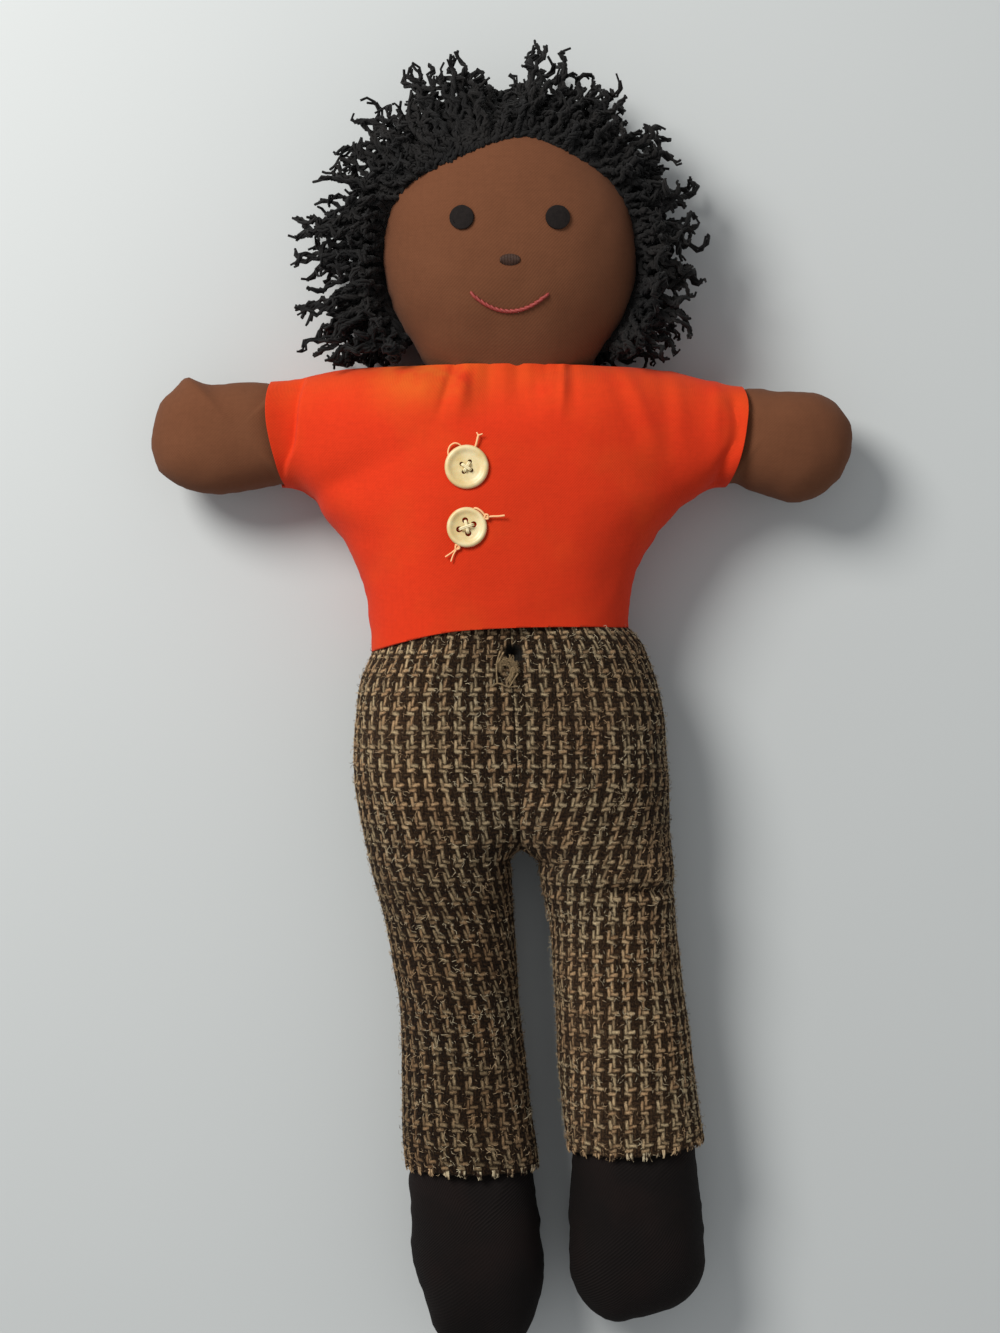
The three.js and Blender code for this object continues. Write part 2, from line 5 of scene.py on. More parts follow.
import bmesh
import bpy
import numpy as np
from mathutils import Matrix, Vector, noise
from mathutils.bvhtree import BVHTree
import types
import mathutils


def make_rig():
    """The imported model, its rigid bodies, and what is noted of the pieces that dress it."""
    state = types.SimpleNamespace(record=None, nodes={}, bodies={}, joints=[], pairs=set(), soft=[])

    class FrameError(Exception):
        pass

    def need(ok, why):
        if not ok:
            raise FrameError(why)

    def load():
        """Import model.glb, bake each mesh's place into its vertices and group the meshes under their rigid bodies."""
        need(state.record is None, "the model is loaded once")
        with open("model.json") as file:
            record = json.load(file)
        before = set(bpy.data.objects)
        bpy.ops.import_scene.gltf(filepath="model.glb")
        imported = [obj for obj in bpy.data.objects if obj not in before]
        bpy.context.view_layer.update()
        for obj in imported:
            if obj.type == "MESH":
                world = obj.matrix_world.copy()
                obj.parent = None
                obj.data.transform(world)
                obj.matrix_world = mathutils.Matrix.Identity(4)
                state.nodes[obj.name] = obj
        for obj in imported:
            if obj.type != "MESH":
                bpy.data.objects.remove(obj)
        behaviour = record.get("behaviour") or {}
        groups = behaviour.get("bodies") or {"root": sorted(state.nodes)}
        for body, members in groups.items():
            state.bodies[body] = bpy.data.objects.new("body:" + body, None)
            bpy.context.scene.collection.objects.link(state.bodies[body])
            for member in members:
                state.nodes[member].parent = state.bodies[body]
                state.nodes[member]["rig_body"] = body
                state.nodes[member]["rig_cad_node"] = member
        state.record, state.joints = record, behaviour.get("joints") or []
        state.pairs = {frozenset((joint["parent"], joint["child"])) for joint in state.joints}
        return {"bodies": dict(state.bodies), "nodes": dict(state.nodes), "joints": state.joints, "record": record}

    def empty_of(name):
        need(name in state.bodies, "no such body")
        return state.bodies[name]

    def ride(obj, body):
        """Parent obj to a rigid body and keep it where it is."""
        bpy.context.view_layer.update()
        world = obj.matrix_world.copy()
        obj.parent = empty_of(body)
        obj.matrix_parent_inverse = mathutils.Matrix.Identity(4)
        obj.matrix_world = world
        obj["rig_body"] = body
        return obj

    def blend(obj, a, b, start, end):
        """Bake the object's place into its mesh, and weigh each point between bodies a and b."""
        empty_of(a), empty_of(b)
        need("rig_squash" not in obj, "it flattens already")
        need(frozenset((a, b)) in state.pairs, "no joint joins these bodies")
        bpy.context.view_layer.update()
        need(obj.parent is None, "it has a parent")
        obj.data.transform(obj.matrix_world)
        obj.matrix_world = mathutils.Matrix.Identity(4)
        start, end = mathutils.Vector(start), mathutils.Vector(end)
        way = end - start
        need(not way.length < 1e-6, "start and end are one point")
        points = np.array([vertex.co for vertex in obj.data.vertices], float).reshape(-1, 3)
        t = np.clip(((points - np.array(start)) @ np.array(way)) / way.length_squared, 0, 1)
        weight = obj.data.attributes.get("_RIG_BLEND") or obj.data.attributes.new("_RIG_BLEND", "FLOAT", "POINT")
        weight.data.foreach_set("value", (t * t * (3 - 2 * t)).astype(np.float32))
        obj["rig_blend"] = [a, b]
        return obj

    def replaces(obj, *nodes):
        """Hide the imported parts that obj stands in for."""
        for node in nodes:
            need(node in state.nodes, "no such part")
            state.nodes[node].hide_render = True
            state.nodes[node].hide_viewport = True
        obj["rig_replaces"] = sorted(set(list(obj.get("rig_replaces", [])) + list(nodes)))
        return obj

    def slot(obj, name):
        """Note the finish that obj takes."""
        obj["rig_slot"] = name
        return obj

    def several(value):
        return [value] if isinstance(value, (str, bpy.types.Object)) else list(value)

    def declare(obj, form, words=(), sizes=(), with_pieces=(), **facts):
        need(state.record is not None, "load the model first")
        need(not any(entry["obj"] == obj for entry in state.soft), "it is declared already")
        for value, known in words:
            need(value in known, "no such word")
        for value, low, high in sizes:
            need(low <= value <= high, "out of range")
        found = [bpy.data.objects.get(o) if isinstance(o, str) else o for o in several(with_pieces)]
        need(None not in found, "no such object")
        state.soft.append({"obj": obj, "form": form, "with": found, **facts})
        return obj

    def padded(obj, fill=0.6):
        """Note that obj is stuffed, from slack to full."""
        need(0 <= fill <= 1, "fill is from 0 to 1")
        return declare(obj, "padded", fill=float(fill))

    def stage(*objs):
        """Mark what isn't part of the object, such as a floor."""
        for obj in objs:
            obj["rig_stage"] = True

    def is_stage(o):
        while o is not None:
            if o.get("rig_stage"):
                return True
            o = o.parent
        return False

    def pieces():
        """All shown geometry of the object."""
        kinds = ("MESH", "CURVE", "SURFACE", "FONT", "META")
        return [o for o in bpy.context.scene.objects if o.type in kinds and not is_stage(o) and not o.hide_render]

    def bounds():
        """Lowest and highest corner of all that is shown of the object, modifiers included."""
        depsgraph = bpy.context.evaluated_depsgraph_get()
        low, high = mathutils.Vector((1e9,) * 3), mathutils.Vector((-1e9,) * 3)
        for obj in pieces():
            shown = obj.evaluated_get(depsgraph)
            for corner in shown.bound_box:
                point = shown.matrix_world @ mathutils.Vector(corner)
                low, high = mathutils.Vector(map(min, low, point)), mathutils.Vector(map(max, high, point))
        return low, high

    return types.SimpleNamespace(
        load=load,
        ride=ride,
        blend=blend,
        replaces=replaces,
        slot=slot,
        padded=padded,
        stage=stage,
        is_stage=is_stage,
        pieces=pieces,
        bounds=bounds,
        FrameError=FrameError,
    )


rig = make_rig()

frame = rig.load()
cad_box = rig.bounds()

# The camera hangs straight above a pale table, with a large soft window light at the upper left.
# The doll lies on its back with its head towards +Y, and every size below is in millimetres until
# it is put into a mesh.
mm = 0.001
camera_height = 823
camera_middle = (-1.5, 11.1)
photo_middle = (500, 666.5)
pixels_per_mm = 3.4
scale_height = 22  # the height over the table at which that scale holds
camera_data = bpy.data.cameras.new("camera")
camera_data.sensor_fit = "VERTICAL"
camera_data.sensor_height = 24
camera_data.lens = 49.04


def in_scene(name, data):
    """An object on its data, linked to the scene."""
    made = bpy.data.objects.new(name, data)
    bpy.context.scene.collection.objects.link(made)
    return made


def soft_light(name, place, size, power, color):
    lamp = bpy.data.lights.new(name, "AREA")
    lamp.shape = "DISK"
    lamp.size = size
    lamp.energy = power
    lamp.color = color
    holder = in_scene(name, lamp)
    holder.location = place
    holder.rotation_euler = Vector(place).to_track_quat("Z", "Y").to_euler()


camera = in_scene("camera", camera_data)
camera.location = (camera_middle[0] * mm, camera_middle[1] * mm, camera_height * mm)
bpy.context.scene.camera = camera
bpy.context.scene.view_settings.view_transform = "Standard"
soft_light("window", (-0.54, 0.54, 0.76), 0.45, 11.3, (1.0, 0.985, 0.955))

world = bpy.data.worlds.new("room")
world.use_nodes = True
room_light = world.node_tree.nodes["Background"].inputs
room_light["Color"].default_value = (0.96, 0.98, 1.0, 1)
room_light["Strength"].default_value = 0.455
bpy.context.scene.world = world


def put_node(tree, kind, inputs=(), **settings):
    """Adds a shader node. inputs are (socket name or number, a value or another node's output)."""
    made = tree.nodes.new(kind)
    for key, value in settings.items():
        setattr(made, key, value)
    for key, value in inputs:
        if isinstance(value, bpy.types.NodeSocket):
            tree.links.new(value, made.inputs[key])
        else:
            made.inputs[key].default_value = value
    return made


def calc(tree, operation, *values):
    """The output of a Math node on one, two or three values."""
    made = put_node(tree, "ShaderNodeMath", list(enumerate(values)), operation=operation)
    return made.outputs[0]


def blend_color(tree, share, first, second, blend_type="MIX"):
    """A colour mixed from two, by a share from 0 to 1."""
    made = put_node(tree, "ShaderNodeMix", data_type="RGBA", blend_type=blend_type)
    for socket, value in ((0, share), (6, first), (7, second)):
        if isinstance(value, bpy.types.NodeSocket):
            tree.links.new(value, made.inputs[socket])
        else:
            made.inputs[socket].default_value = value if socket == 0 else (*value, 1)
    return made.outputs[2]


def grain(tree, scale, detail=3.0, where=None, roughness=0.55, stretch=(1, 1, 1), start=(0, 0, 0)):
    """Noise from 0 to 1 on object coordinates, or on another coordinate."""
    if where is None:
        where = put_node(tree, "ShaderNodeTexCoord").outputs["Object"]
    mapping = put_node(tree, "ShaderNodeMapping", [
        ("Vector", where), ("Scale", stretch), ("Location", start)])
    made = put_node(tree, "ShaderNodeTexNoise", [
        ("Vector", mapping.outputs[0]), ("Scale", scale), ("Detail", detail), ("Roughness", roughness)])
    return made.outputs[0]


def ramp(tree, value, low, high):
    """0 below low, 1 above high, with a smooth rise between them."""
    made = put_node(tree, "ShaderNodeMapRange", [("Value", value), ("From Min", low), ("From Max", high)],
                    interpolation_type="SMOOTHSTEP")
    return made.outputs[0]


def share_of(tree, value, low, high, most):
    """0 below low, most above high."""
    return calc(tree, "MULTIPLY", ramp(tree, value, low, high), most)


def object_place(tree):
    """The x, y and z of a point of the object, in metres."""
    where = put_node(tree, "ShaderNodeTexCoord").outputs["Object"]
    return put_node(tree, "ShaderNodeSeparateXYZ", [("Vector", where)]).outputs


def new_material(name, roughness=0.9, sheen=0.0, specular=0.35):
    """A material with its tree and its Principled shader."""
    made = bpy.data.materials.new(name)
    made.use_nodes = True
    shader = made.node_tree.nodes["Principled BSDF"]
    shader.inputs["Roughness"].default_value = roughness
    shader.inputs["Sheen Weight"].default_value = sheen
    shader.inputs["Sheen Roughness"].default_value = 0.5
    shader.inputs["Specular IOR Level"].default_value = specular
    return made, made.node_tree, shader


def finish_material(tree, shader, color, height=None, relief=0.0):
    """Joins a colour to the shader, and a height in millimetres as bump."""
    tree.links.new(color, shader.inputs["Base Color"])
    if height is not None:
        bump = put_node(tree, "ShaderNodeBump", [("Height", height), ("Distance", relief * mm)])
        tree.links.new(bump.outputs[0], shader.inputs["Normal"])


table_material, tree, shader = new_material("table_top", roughness=0.5, specular=0.3)
finish_material(tree, shader, blend_color(
    tree, grain(tree, 3.0), (0.50, 0.52, 0.52), (0.53, 0.55, 0.548)))
bm = bmesh.new()
bmesh.ops.create_grid(bm, x_segments=1, y_segments=1, size=3)
table = in_scene("table_top", bpy.data.meshes.new("table_top"))
bm.to_mesh(table.data)
bm.free()
table.data.materials.append(table_material)
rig.stage(table)


# The head is one bag of brown cotton with its neck, cut as a face and a back panel, sewn round the
# edge and stuffed. The neck runs down inside the gathered collar of the top.
def curve_through(points):
    """A smooth value along a part, through a few (place, value) points in rising order."""
    places = np.array([p[0] for p in points], float)
    values = np.array([p[1] for p in points], float)
    slopes = np.gradient(values, places)

    def at(place):
        place = min(max(place, places[0]), places[-1])
        i = min(max(int(np.searchsorted(places, place)) - 1, 0), len(places) - 2)
        span = places[i + 1] - places[i]
        t = (place - places[i]) / span
        return ((1 + 2 * t) * (1 - t) ** 2 * values[i] + t * (1 - t) ** 2 * span * slopes[i]
                + t * t * (3 - 2 * t) * values[i + 1] + t * t * (t - 1) * span * slopes[i + 1])

    return at


def smoothstep(low, high, value):
    share = min(max((value - low) / (high - low), 0), 1)
    return share * share * (3 - 2 * share)


def smooth_between(before, here, after, beyond, t):
    """A point on the smooth curve from here to after, by a share t, with its neighbours on each side."""
    return 0.5 * (2 * here + (after - before) * t
                  + (2 * before - 5 * here + 4 * after - beyond) * t * t
                  + (3 * here - before - 3 * after + beyond) * t ** 3)


def seam_line(outline, middle):
    """A sewn outline seen from its middle: the distance out to it, and the length along it, by angle."""
    points = []
    for i, here in enumerate(outline):
        before = outline[i - 1]
        after = outline[(i + 1) % len(outline)]
        beyond = outline[(i + 2) % len(outline)]
        for step in range(8):
            t = step / 8
            points.append([smooth_between(before[k], here[k], after[k], beyond[k], t) for k in (0, 1)])
    angles = [math.atan2(y - middle[1], x - middle[0]) for x, y in points]
    order = sorted(range(len(points)), key=angles.__getitem__)
    angle = np.array([angles[i] for i in order])
    reach = np.array([math.dist(points[i], middle) for i in order])
    along = np.concatenate([[0], np.cumsum(np.hypot(
        np.diff(reach * np.cos(angle)), np.diff(reach * np.sin(angle))))])
    angle = np.concatenate([angle, angle[:1] + 2 * math.pi])
    reach = np.concatenate([reach, reach[:1]])
    along = np.concatenate([along, [along[-1] + 1.0]])

    def at(turn):
        turn = (turn - angle[0]) % (2 * math.pi) + angle[0]
        return float(np.interp(turn, angle, reach)), float(np.interp(turn, angle, along))

    return at


lowest = 0.35  # where the doll rests, its cloth is pressed flat just over the table


def settled(height):
    return max(height, lowest)


def lumps(x, y, z, size):
    """Soft unevenness of the stuffing under the cloth, from about -1 to 1."""
    return noise.fractal(Vector((x, y, z)) / size, 0.9, 2.1, 2)


def pucker(along, height, pitch, seed):
    """How a seam draws the cloth in beside it: strongest at the seam, uneven along it."""
    seam_reach = 4.5
    wave = noise.noise(Vector((along / pitch, seed, 0)))
    wave += 0.5 * noise.noise(Vector((along / (0.45 * pitch), seed, 7)))
    return (wave - 0.35) * math.exp(-(height / seam_reach) ** 2)


def smooth_piece(name, mesh, material):
    """Puts a mesh in metres into the scene, shaded smooth."""
    for polygon in mesh.polygons:
        polygon.use_smooth = True
    mesh.materials.clear()
    mesh.materials.append(material)
    return in_scene(name, mesh)


def new_piece(name, bm, material):
    """Puts a finished mesh, drawn in millimetres, into the scene in metres."""
    bmesh.ops.scale(bm, vec=(mm, mm, mm), verts=bm.verts)
    mesh = bpy.data.meshes.new(name)
    bm.to_mesh(mesh)
    bm.free()
    return smooth_piece(name, mesh, material)


def stuffed_bag(outline, middle, half_depth, level, seed, around, rise, fullness=2.3, lump=0.35,
                lump_size=13):
    """A bag sewn round an outline, blown up from a sphere whose equator is the seam.
    half_depth and level are functions of (x, y). The map is the cloth laid flat, in millimetres."""
    bm = bmesh.new()
    bmesh.ops.create_uvsphere(bm, u_segments=around, v_segments=rise, radius=1)
    cloth = bm.loops.layers.uv.new("cloth")
    edge_at = seam_line(outline, middle)
    flat = {}
    for vert in bm.verts:
        turn = math.atan2(vert.co.y, vert.co.x)
        climb = math.asin(min(max(vert.co.z, -1), 1))
        reach, along = edge_at(turn)
        share = math.cos(climb)
        x = middle[0] + reach * share * math.cos(turn)
        y = middle[1] + reach * share * math.sin(turn)
        deep = half_depth(x, y)
        height = math.copysign(deep * max(1 - share ** fullness, 0) ** 0.5, climb)
        run = (math.pi / 2 - abs(climb)) * (reach + deep) / 2
        flat[vert] = (run * math.cos(turn), run * math.sin(turn))
        swell = lump * lumps(x, y, height + 40 * seed, lump_size)
        swell += 0.55 * pucker(along, height, 5.5, seed)
        upward = math.copysign(1 - share ** 2, climb) * 1.2
        out = Vector((math.cos(turn) * share, math.sin(turn) * share, upward))
        out.normalize()
        z = height + level(x, y) + swell * out.z
        vert.co = (x + swell * out.x, y + swell * out.y, settled(z))
    for face in bm.faces:
        for loop in face.loops:
            loop[cloth].uv = flat[loop.vert]
    bm.normal_update()
    return bm


def plain_weave(tree, pitch, where):
    """Height of a plain weave, from 0 to 1, on a flat map in millimetres."""
    split = put_node(tree, "ShaderNodeSeparateXYZ", [("Vector", where)])
    across = calc(tree, "SINE", calc(tree, "MULTIPLY", split.outputs[0], math.pi / pitch))
    up = calc(tree, "SINE", calc(tree, "MULTIPLY", split.outputs[1], math.pi / pitch))
    over = calc(tree, "MULTIPLY", across, up)
    return calc(tree, "MULTIPLY_ADD", over, 0.5, 0.5)


def cotton_material(name, base, worn, worn_share=None, painted_shade_share=None):
    """Plain-woven cotton: two close colours in the threads, soft fading and a woven relief."""
    made, tree, shader = new_material(name, roughness=0.92, sheen=0.03, specular=0.1)
    where = put_node(tree, "ShaderNodeUVMap", uv_map="cloth").outputs[0]
    weave = plain_weave(tree, cotton_pitch, where)
    slub = grain(tree, 1.2, 3, where, stretch=(0.25, 1.6, 1))
    blotch = grain(tree, 45, 3)
    lint = grain(tree, 750, 4, roughness=0.7)
    darker = tuple(0.76 * c for c in base)
    color = blend_color(tree, calc(tree, "MULTIPLY", slub, 0.6), base, darker)
    color = blend_color(tree, share_of(tree, lint, 0.4, 0.7, 0.36), color, darker)
    for stretch in ((0.13, 0.9, 1), (0.9, 0.13, 1)):
        thick_thread = grain(tree, 0.9, 3, where, stretch=stretch)
        color = blend_color(tree, share_of(tree, thick_thread, 0.42, 0.72, 0.24), color, darker)
    color = blend_color(tree, share_of(tree, blotch, 0.45, 0.75, 0.12), color, worn)
    if worn_share is not None:
        color = blend_color(tree, worn_share(tree), color, worn)
    # Painted shade: where a painted shade share is given, the colour is darkened there towards half the base colour.
    if painted_shade_share is not None:
        color = blend_color(tree, painted_shade_share(tree), color, tuple(0.5 * c for c in base))
    color = blend_color(tree, calc(tree, "MULTIPLY", weave, 0.18), color, darker)
    height = calc(tree, "ADD", weave, calc(tree, "MULTIPLY", slub, 0.8))
    finish_material(tree, shader, color, height, 0.05)
    return made


cotton_pitch = 0.42
brown_cotton = cotton_material("brown_cotton", (0.150, 0.056, 0.026), (0.21, 0.085, 0.042))

head_middle = (1.25, 134)
head_outline = [(1.2, 172.5), (14, 170.4), (26, 162.8), (34.5, 151.5), (38.4, 138), (38.2, 124.5),
                (33.9, 111.8), (28.8, 104.6), (23.8, 97), (15.5, 89.6), (1.2, 86), (-13.5, 89.6),
                (-21.8, 97), (-27.0, 105.4), (-32.6, 115), (-36, 128), (-35.8, 142), (-31.6, 154),
                (-23, 164.6), (-12, 170.4)]
neck_share = curve_through([(84, 0.0), (96, 0.12), (107, 0.5), (118, 0.85), (129, 1.0), (175, 1.0)])


def head_depth(x, y):
    """Half the bag's thickness: 18.5 mm at the neck and 24.4 mm at the face."""
    return 18.5 + (24.4 - 18.5) * neck_share(y)


def head_level(x, y):
    """The height of the bag's seam over the table: 25 mm at the neck and 28 mm at the face."""
    return 25.0 + 3.0 * neck_share(y)


head = new_piece("head_bag", stuffed_bag(
    head_outline, head_middle, head_depth, head_level, seed=3, around=200, rise=90, lump=0.3),
    brown_cotton)
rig.ride(head, "head")
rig.slot(head, "brown_cotton")
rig.padded(head, fill=0.9)
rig.replaces(head, "face_panel", "head_back_panel", "head_stuffing")


# The hands are stubby mittens of the same brown cotton, each sewn from two pieces, stuffed, and
# sewn inside the end of its sleeve.
def on_photo(px, py, height):
    """A place in the photograph, brought down to a height over the table."""
    reach = (camera_height - height) / (camera_height - scale_height) / pixels_per_mm
    return (camera_middle[0] + (px - photo_middle[0]) * reach,
            camera_middle[1] + (photo_middle[1] - py) * reach)


hand_level = 19
hand_depth = 14.3
right_hand_edge = [(300, 391), (282, 388), (268, 384.2), (255, 382.8), (240, 383), (212, 384.5),
                   (197, 380.5), (189, 377.6), (184.5, 379.6), (175, 388), (162, 401), (153, 425),
                   (152, 452), (158, 470), (170, 481), (186, 489), (206, 494), (228, 494.5),
                   (252, 490.5), (268, 487.2), (281, 484.5), (300, 477)]
left_hand_edge = [(715, 397), (732, 393), (747, 389.2), (775, 391), (802, 392), (822, 395), (838, 405),
                  (849, 420), (852.5, 442), (847, 466), (834, 485), (815, 498), (795, 502.5),
                  (773, 498.5), (752, 492), (735, 484.5), (715, 477)]
for side, edge, middle_x in (("right", right_hand_edge, -78), ("left", left_hand_edge, 77)):
    outline = [on_photo(px, py, hand_level) for px, py in edge]
    hand = new_piece(f"{side}_hand_bag", stuffed_bag(
        outline, (middle_x, 79.5), lambda x, y: hand_depth, lambda x, y: hand_level, seed=11 + len(side),
        around=120, rise=56, fullness=2.6), brown_cotton)
    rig.ride(hand, f"{side}_arm")
    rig.slot(hand, "brown_cotton")
    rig.padded(hand, fill=0.85)
    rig.replaces(hand, f"{side}_hand_front", f"{side}_hand_back")


# The boots are mittens of nearly black twill with fine diagonal ribs, sewn from two pieces, stuffed,
# and sewn inside the hems of the trousers.
def twill_material():
    made, tree, shader = new_material("black_twill", roughness=0.9, sheen=0.0, specular=0.12)
    where = put_node(tree, "ShaderNodeUVMap", uv_map="cloth").outputs[0]
    wale = put_node(tree, "ShaderNodeTexWave", [
        ("Vector", put_node(tree, "ShaderNodeMapping", [
            ("Vector", where), ("Rotation", (0, 0, math.radians(47)))]).outputs[0]),
        ("Scale", 0.45), ("Distortion", 0.6), ("Detail", 2.0), ("Detail Scale", 2.5)],
        wave_type="BANDS", bands_direction="X", wave_profile="SIN").outputs["Fac"]
    yarn = grain(tree, 1.6, 3, where, stretch=(2.2, 0.7, 1))
    blotch = grain(tree, 60, 3)
    rubbed = ramp(tree, grain(tree, 32, 2), 0.4, 0.62)
    rib = calc(tree, "MULTIPLY", ramp(tree, wale, 0.2, 0.9),
               calc(tree, "MULTIPLY_ADD", rubbed, 0.65, 0.35))
    color = blend_color(tree, rib, (0.0052, 0.0037, 0.0034), (0.0104, 0.0078, 0.0070))
    color = blend_color(tree, share_of(tree, blotch, 0.4, 0.7, 0.4), color, (0.0125, 0.0068, 0.0058))
    color = blend_color(tree, share_of(tree, yarn, 0.55, 0.8, 0.35), color, (0.017, 0.0137, 0.0125))
    height = calc(tree, "ADD", rib, calc(tree, "MULTIPLY", yarn, 0.7))
    finish_material(tree, shader, color, height, 0.12)
    return made


black_twill = twill_material()
boot_level = 17.7
right_boot_edge = [(424, 1112), (413, 1132), (411, 1158), (409.5, 1182), (410.8, 1210), (411.4, 1248),
                   (414.4, 1267), (421.3, 1288), (427.6, 1309), (433, 1326), (441, 1338), (456, 1345),
                   (478, 1347.5), (500, 1347), (517, 1342), (526, 1333), (531.8, 1322), (538.2, 1302.6),
                   (543.6, 1281.6), (544.5, 1264.7), (541, 1231), (538, 1203.7), (533, 1172),
                   (528, 1140), (517, 1114)]
left_boot_edge = [(588, 1090), (577, 1112), (573, 1140), (571, 1172), (568.6, 1224), (569.3, 1258),
                  (573, 1281), (580.3, 1296), (590.8, 1309), (602.4, 1317.5), (617, 1320.5),
                  (633, 1317.8), (654, 1313.2), (675, 1305.5), (689.7, 1294), (701, 1277),
                  (705.5, 1261), (703.8, 1235), (701, 1199), (697, 1160), (691, 1122), (680, 1092)]
boot_depth = curve_through([(-191, 15.5), (-178, 17.4), (-160, 18.3), (-140, 18.6), (-128, 18.3),
                            (-118, 17.0)])
for side, edge, middle in (("right", right_boot_edge, (-7, -154)), ("left", left_boot_edge, (38, -148))):
    outline = [on_photo(px, py, boot_level) for px, py in edge]
    boot = new_piece(f"{side}_boot_bag", stuffed_bag(
        outline, middle, lambda x, y: boot_depth(y), lambda x, y: boot_level, seed=21 + len(side),
        around=150, rise=70, fullness=2.9, lump_size=15), black_twill)
    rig.ride(boot, f"{side}_leg")
    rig.slot(boot, "black_twill")
    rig.padded(boot, fill=0.85)
    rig.replaces(boot, f"{side}_boot_front", f"{side}_boot_back")


# The top is a front and a back panel of orange-red cotton, each cut in one with its half of both
# sleeves, sewn along the shoulders, underarms and sides, stuffed, and gathered round the neck.
# It is drawn as stuffed tubes run together, and then parted where the arms bend.
def of_kind(geometry, kind):
    """The verts, the edges or the faces among what an operator returns."""
    return [g for g in geometry if isinstance(g, kind)]


def tube(bm, rings):
    """A closed skin through rings of points, drawn out of a round face."""
    circle = bmesh.ops.create_circle(bm, cap_ends=True, segments=len(rings[0]), radius=1)["verts"]
    face = circle[0].link_faces[0]
    for r, ring in enumerate(rings):
        if r:
            drawn = bmesh.ops.extrude_face_region(bm, geom=[face])["geom"]
            face = of_kind(drawn, bmesh.types.BMFace)[0]
        for vert, point in zip(face.verts, ring):
            vert.co = point


def plump(share):
    """Makes a circle's cosine or sine into that of a fuller, stuffed section."""
    return math.copysign(abs(share) ** (2 / 2.45), share)


ring_sides = 64
ring_angles = [2 * math.pi * i / ring_sides for i in range(ring_sides)]
ring_turns = [(plump(math.cos(turn)), plump(math.sin(turn))) for turn in ring_angles]


def rings_along(axis, stations):
    """Rings of a tube along x (0) or y (1), from (place, low side, high side, half depth)."""
    rings = []
    for place, low, high, deep in stations:
        ring = []
        for across, up in ring_turns:
            beside = (low + high) / 2 + (high - low) / 2 * across
            ring.append(Vector((beside, place, deep * up) if axis else (place, beside, deep * up)))
        rings.append(ring)
    return rings


trunk_stations = [(4, -38.6, 36.4, 21.6), (15, -39.4, 36.2, 22.2), (22, -39.6, 36.0, 22.8),
                  (30, -40.5, 36.7, 23.6), (38, -42.6, 38.4, 24.1), (47, -46.9, 42.5, 24.4),
                  (52, -50.8, 46.3, 24.4), (56, -55.4, 50.4, 24.3), (61, -59.0, 55.0, 24.0),
                  (70, -54.0, 52.0, 23.6), (80, -48.0, 47.0, 22.6), (88, -42.0, 41.0, 19.6),
                  (94, -36.0, 36.0, 14.5), (98, -30.0, 31.0, 8.0)]
collar_stations = [(72, -27, 29.5, 22.5), (82, -27, 29.5, 21.0), (90, -26.5, 28.5, 18.3),
                   (95, -25.6, 27.5, 16.0), (98.5, -25.2, 27.2, 15.0), (102, -25.2, 27.2, 14.8)]
right_sleeve_stations = [(-10, 62, 99.6, 22.5), (-30, 61, 99.3, 21.6), (-42, 59.0, 98.8, 20.6),
                         (-52, 58.2, 97.8, 19.4), (-60, 60.4, 96.6, 18.2), (-66, 62.4, 95.8, 17.2),
                         (-70, 63.7, 95.4, 16.6), (-78, 63.7, 95.0, 16.4)]
left_sleeve_stations = [(10, 62, 99.6, 22.5), (30, 60, 99.3, 21.6), (42, 59.2, 98.6, 20.6),
                        (52, 58.8, 97.2, 19.4), (60, 60.6, 95.8, 18.2), (66, 62.8, 94.8, 17.4),
                        (71, 63.9, 93.9, 16.8), (79, 63.9, 93.4, 16.6)]
neck_edge_y = 98.3
sleeve_cut = 74
waist_cut = 20.5
waist_slope = 0.07
right_hem = curve_through([(60, -63.2), (62.3, -63.9), (66.6, -65.7), (71, -66.9), (76.8, -68.3),
                           (82.6, -69.3), (88.4, -69.5), (93.3, -68.9), (97, -68.0)])
left_hem = curve_through([(61, 64.0), (64.7, 65.6), (69.5, 67.6), (74.2, 68.9), (80.8, 70.0),
                          (89.1, 70.4), (92.7, 69.6), (96, 68.6)])
right_crease = curve_through([(60, -66.0), (65, -64.6), (70.6, -63.0), (74.6, -61.2), (80, -60.4),
                              (86.5, -59.9), (94.4, -58.4), (98, -57.6)])
left_valley = curve_through([(60, 60.5), (65, 62.0), (70.3, 64.0), (76.8, 66.9), (81.8, 67.4),
                             (86.2, 66.8), (91, 66.0), (98, 65.0)])
waist_edge = curve_through([(-42, 14.6), (-30, 18.0), (-18, 20.6), (0, 22.0), (20, 22.4), (40, 22.4)])

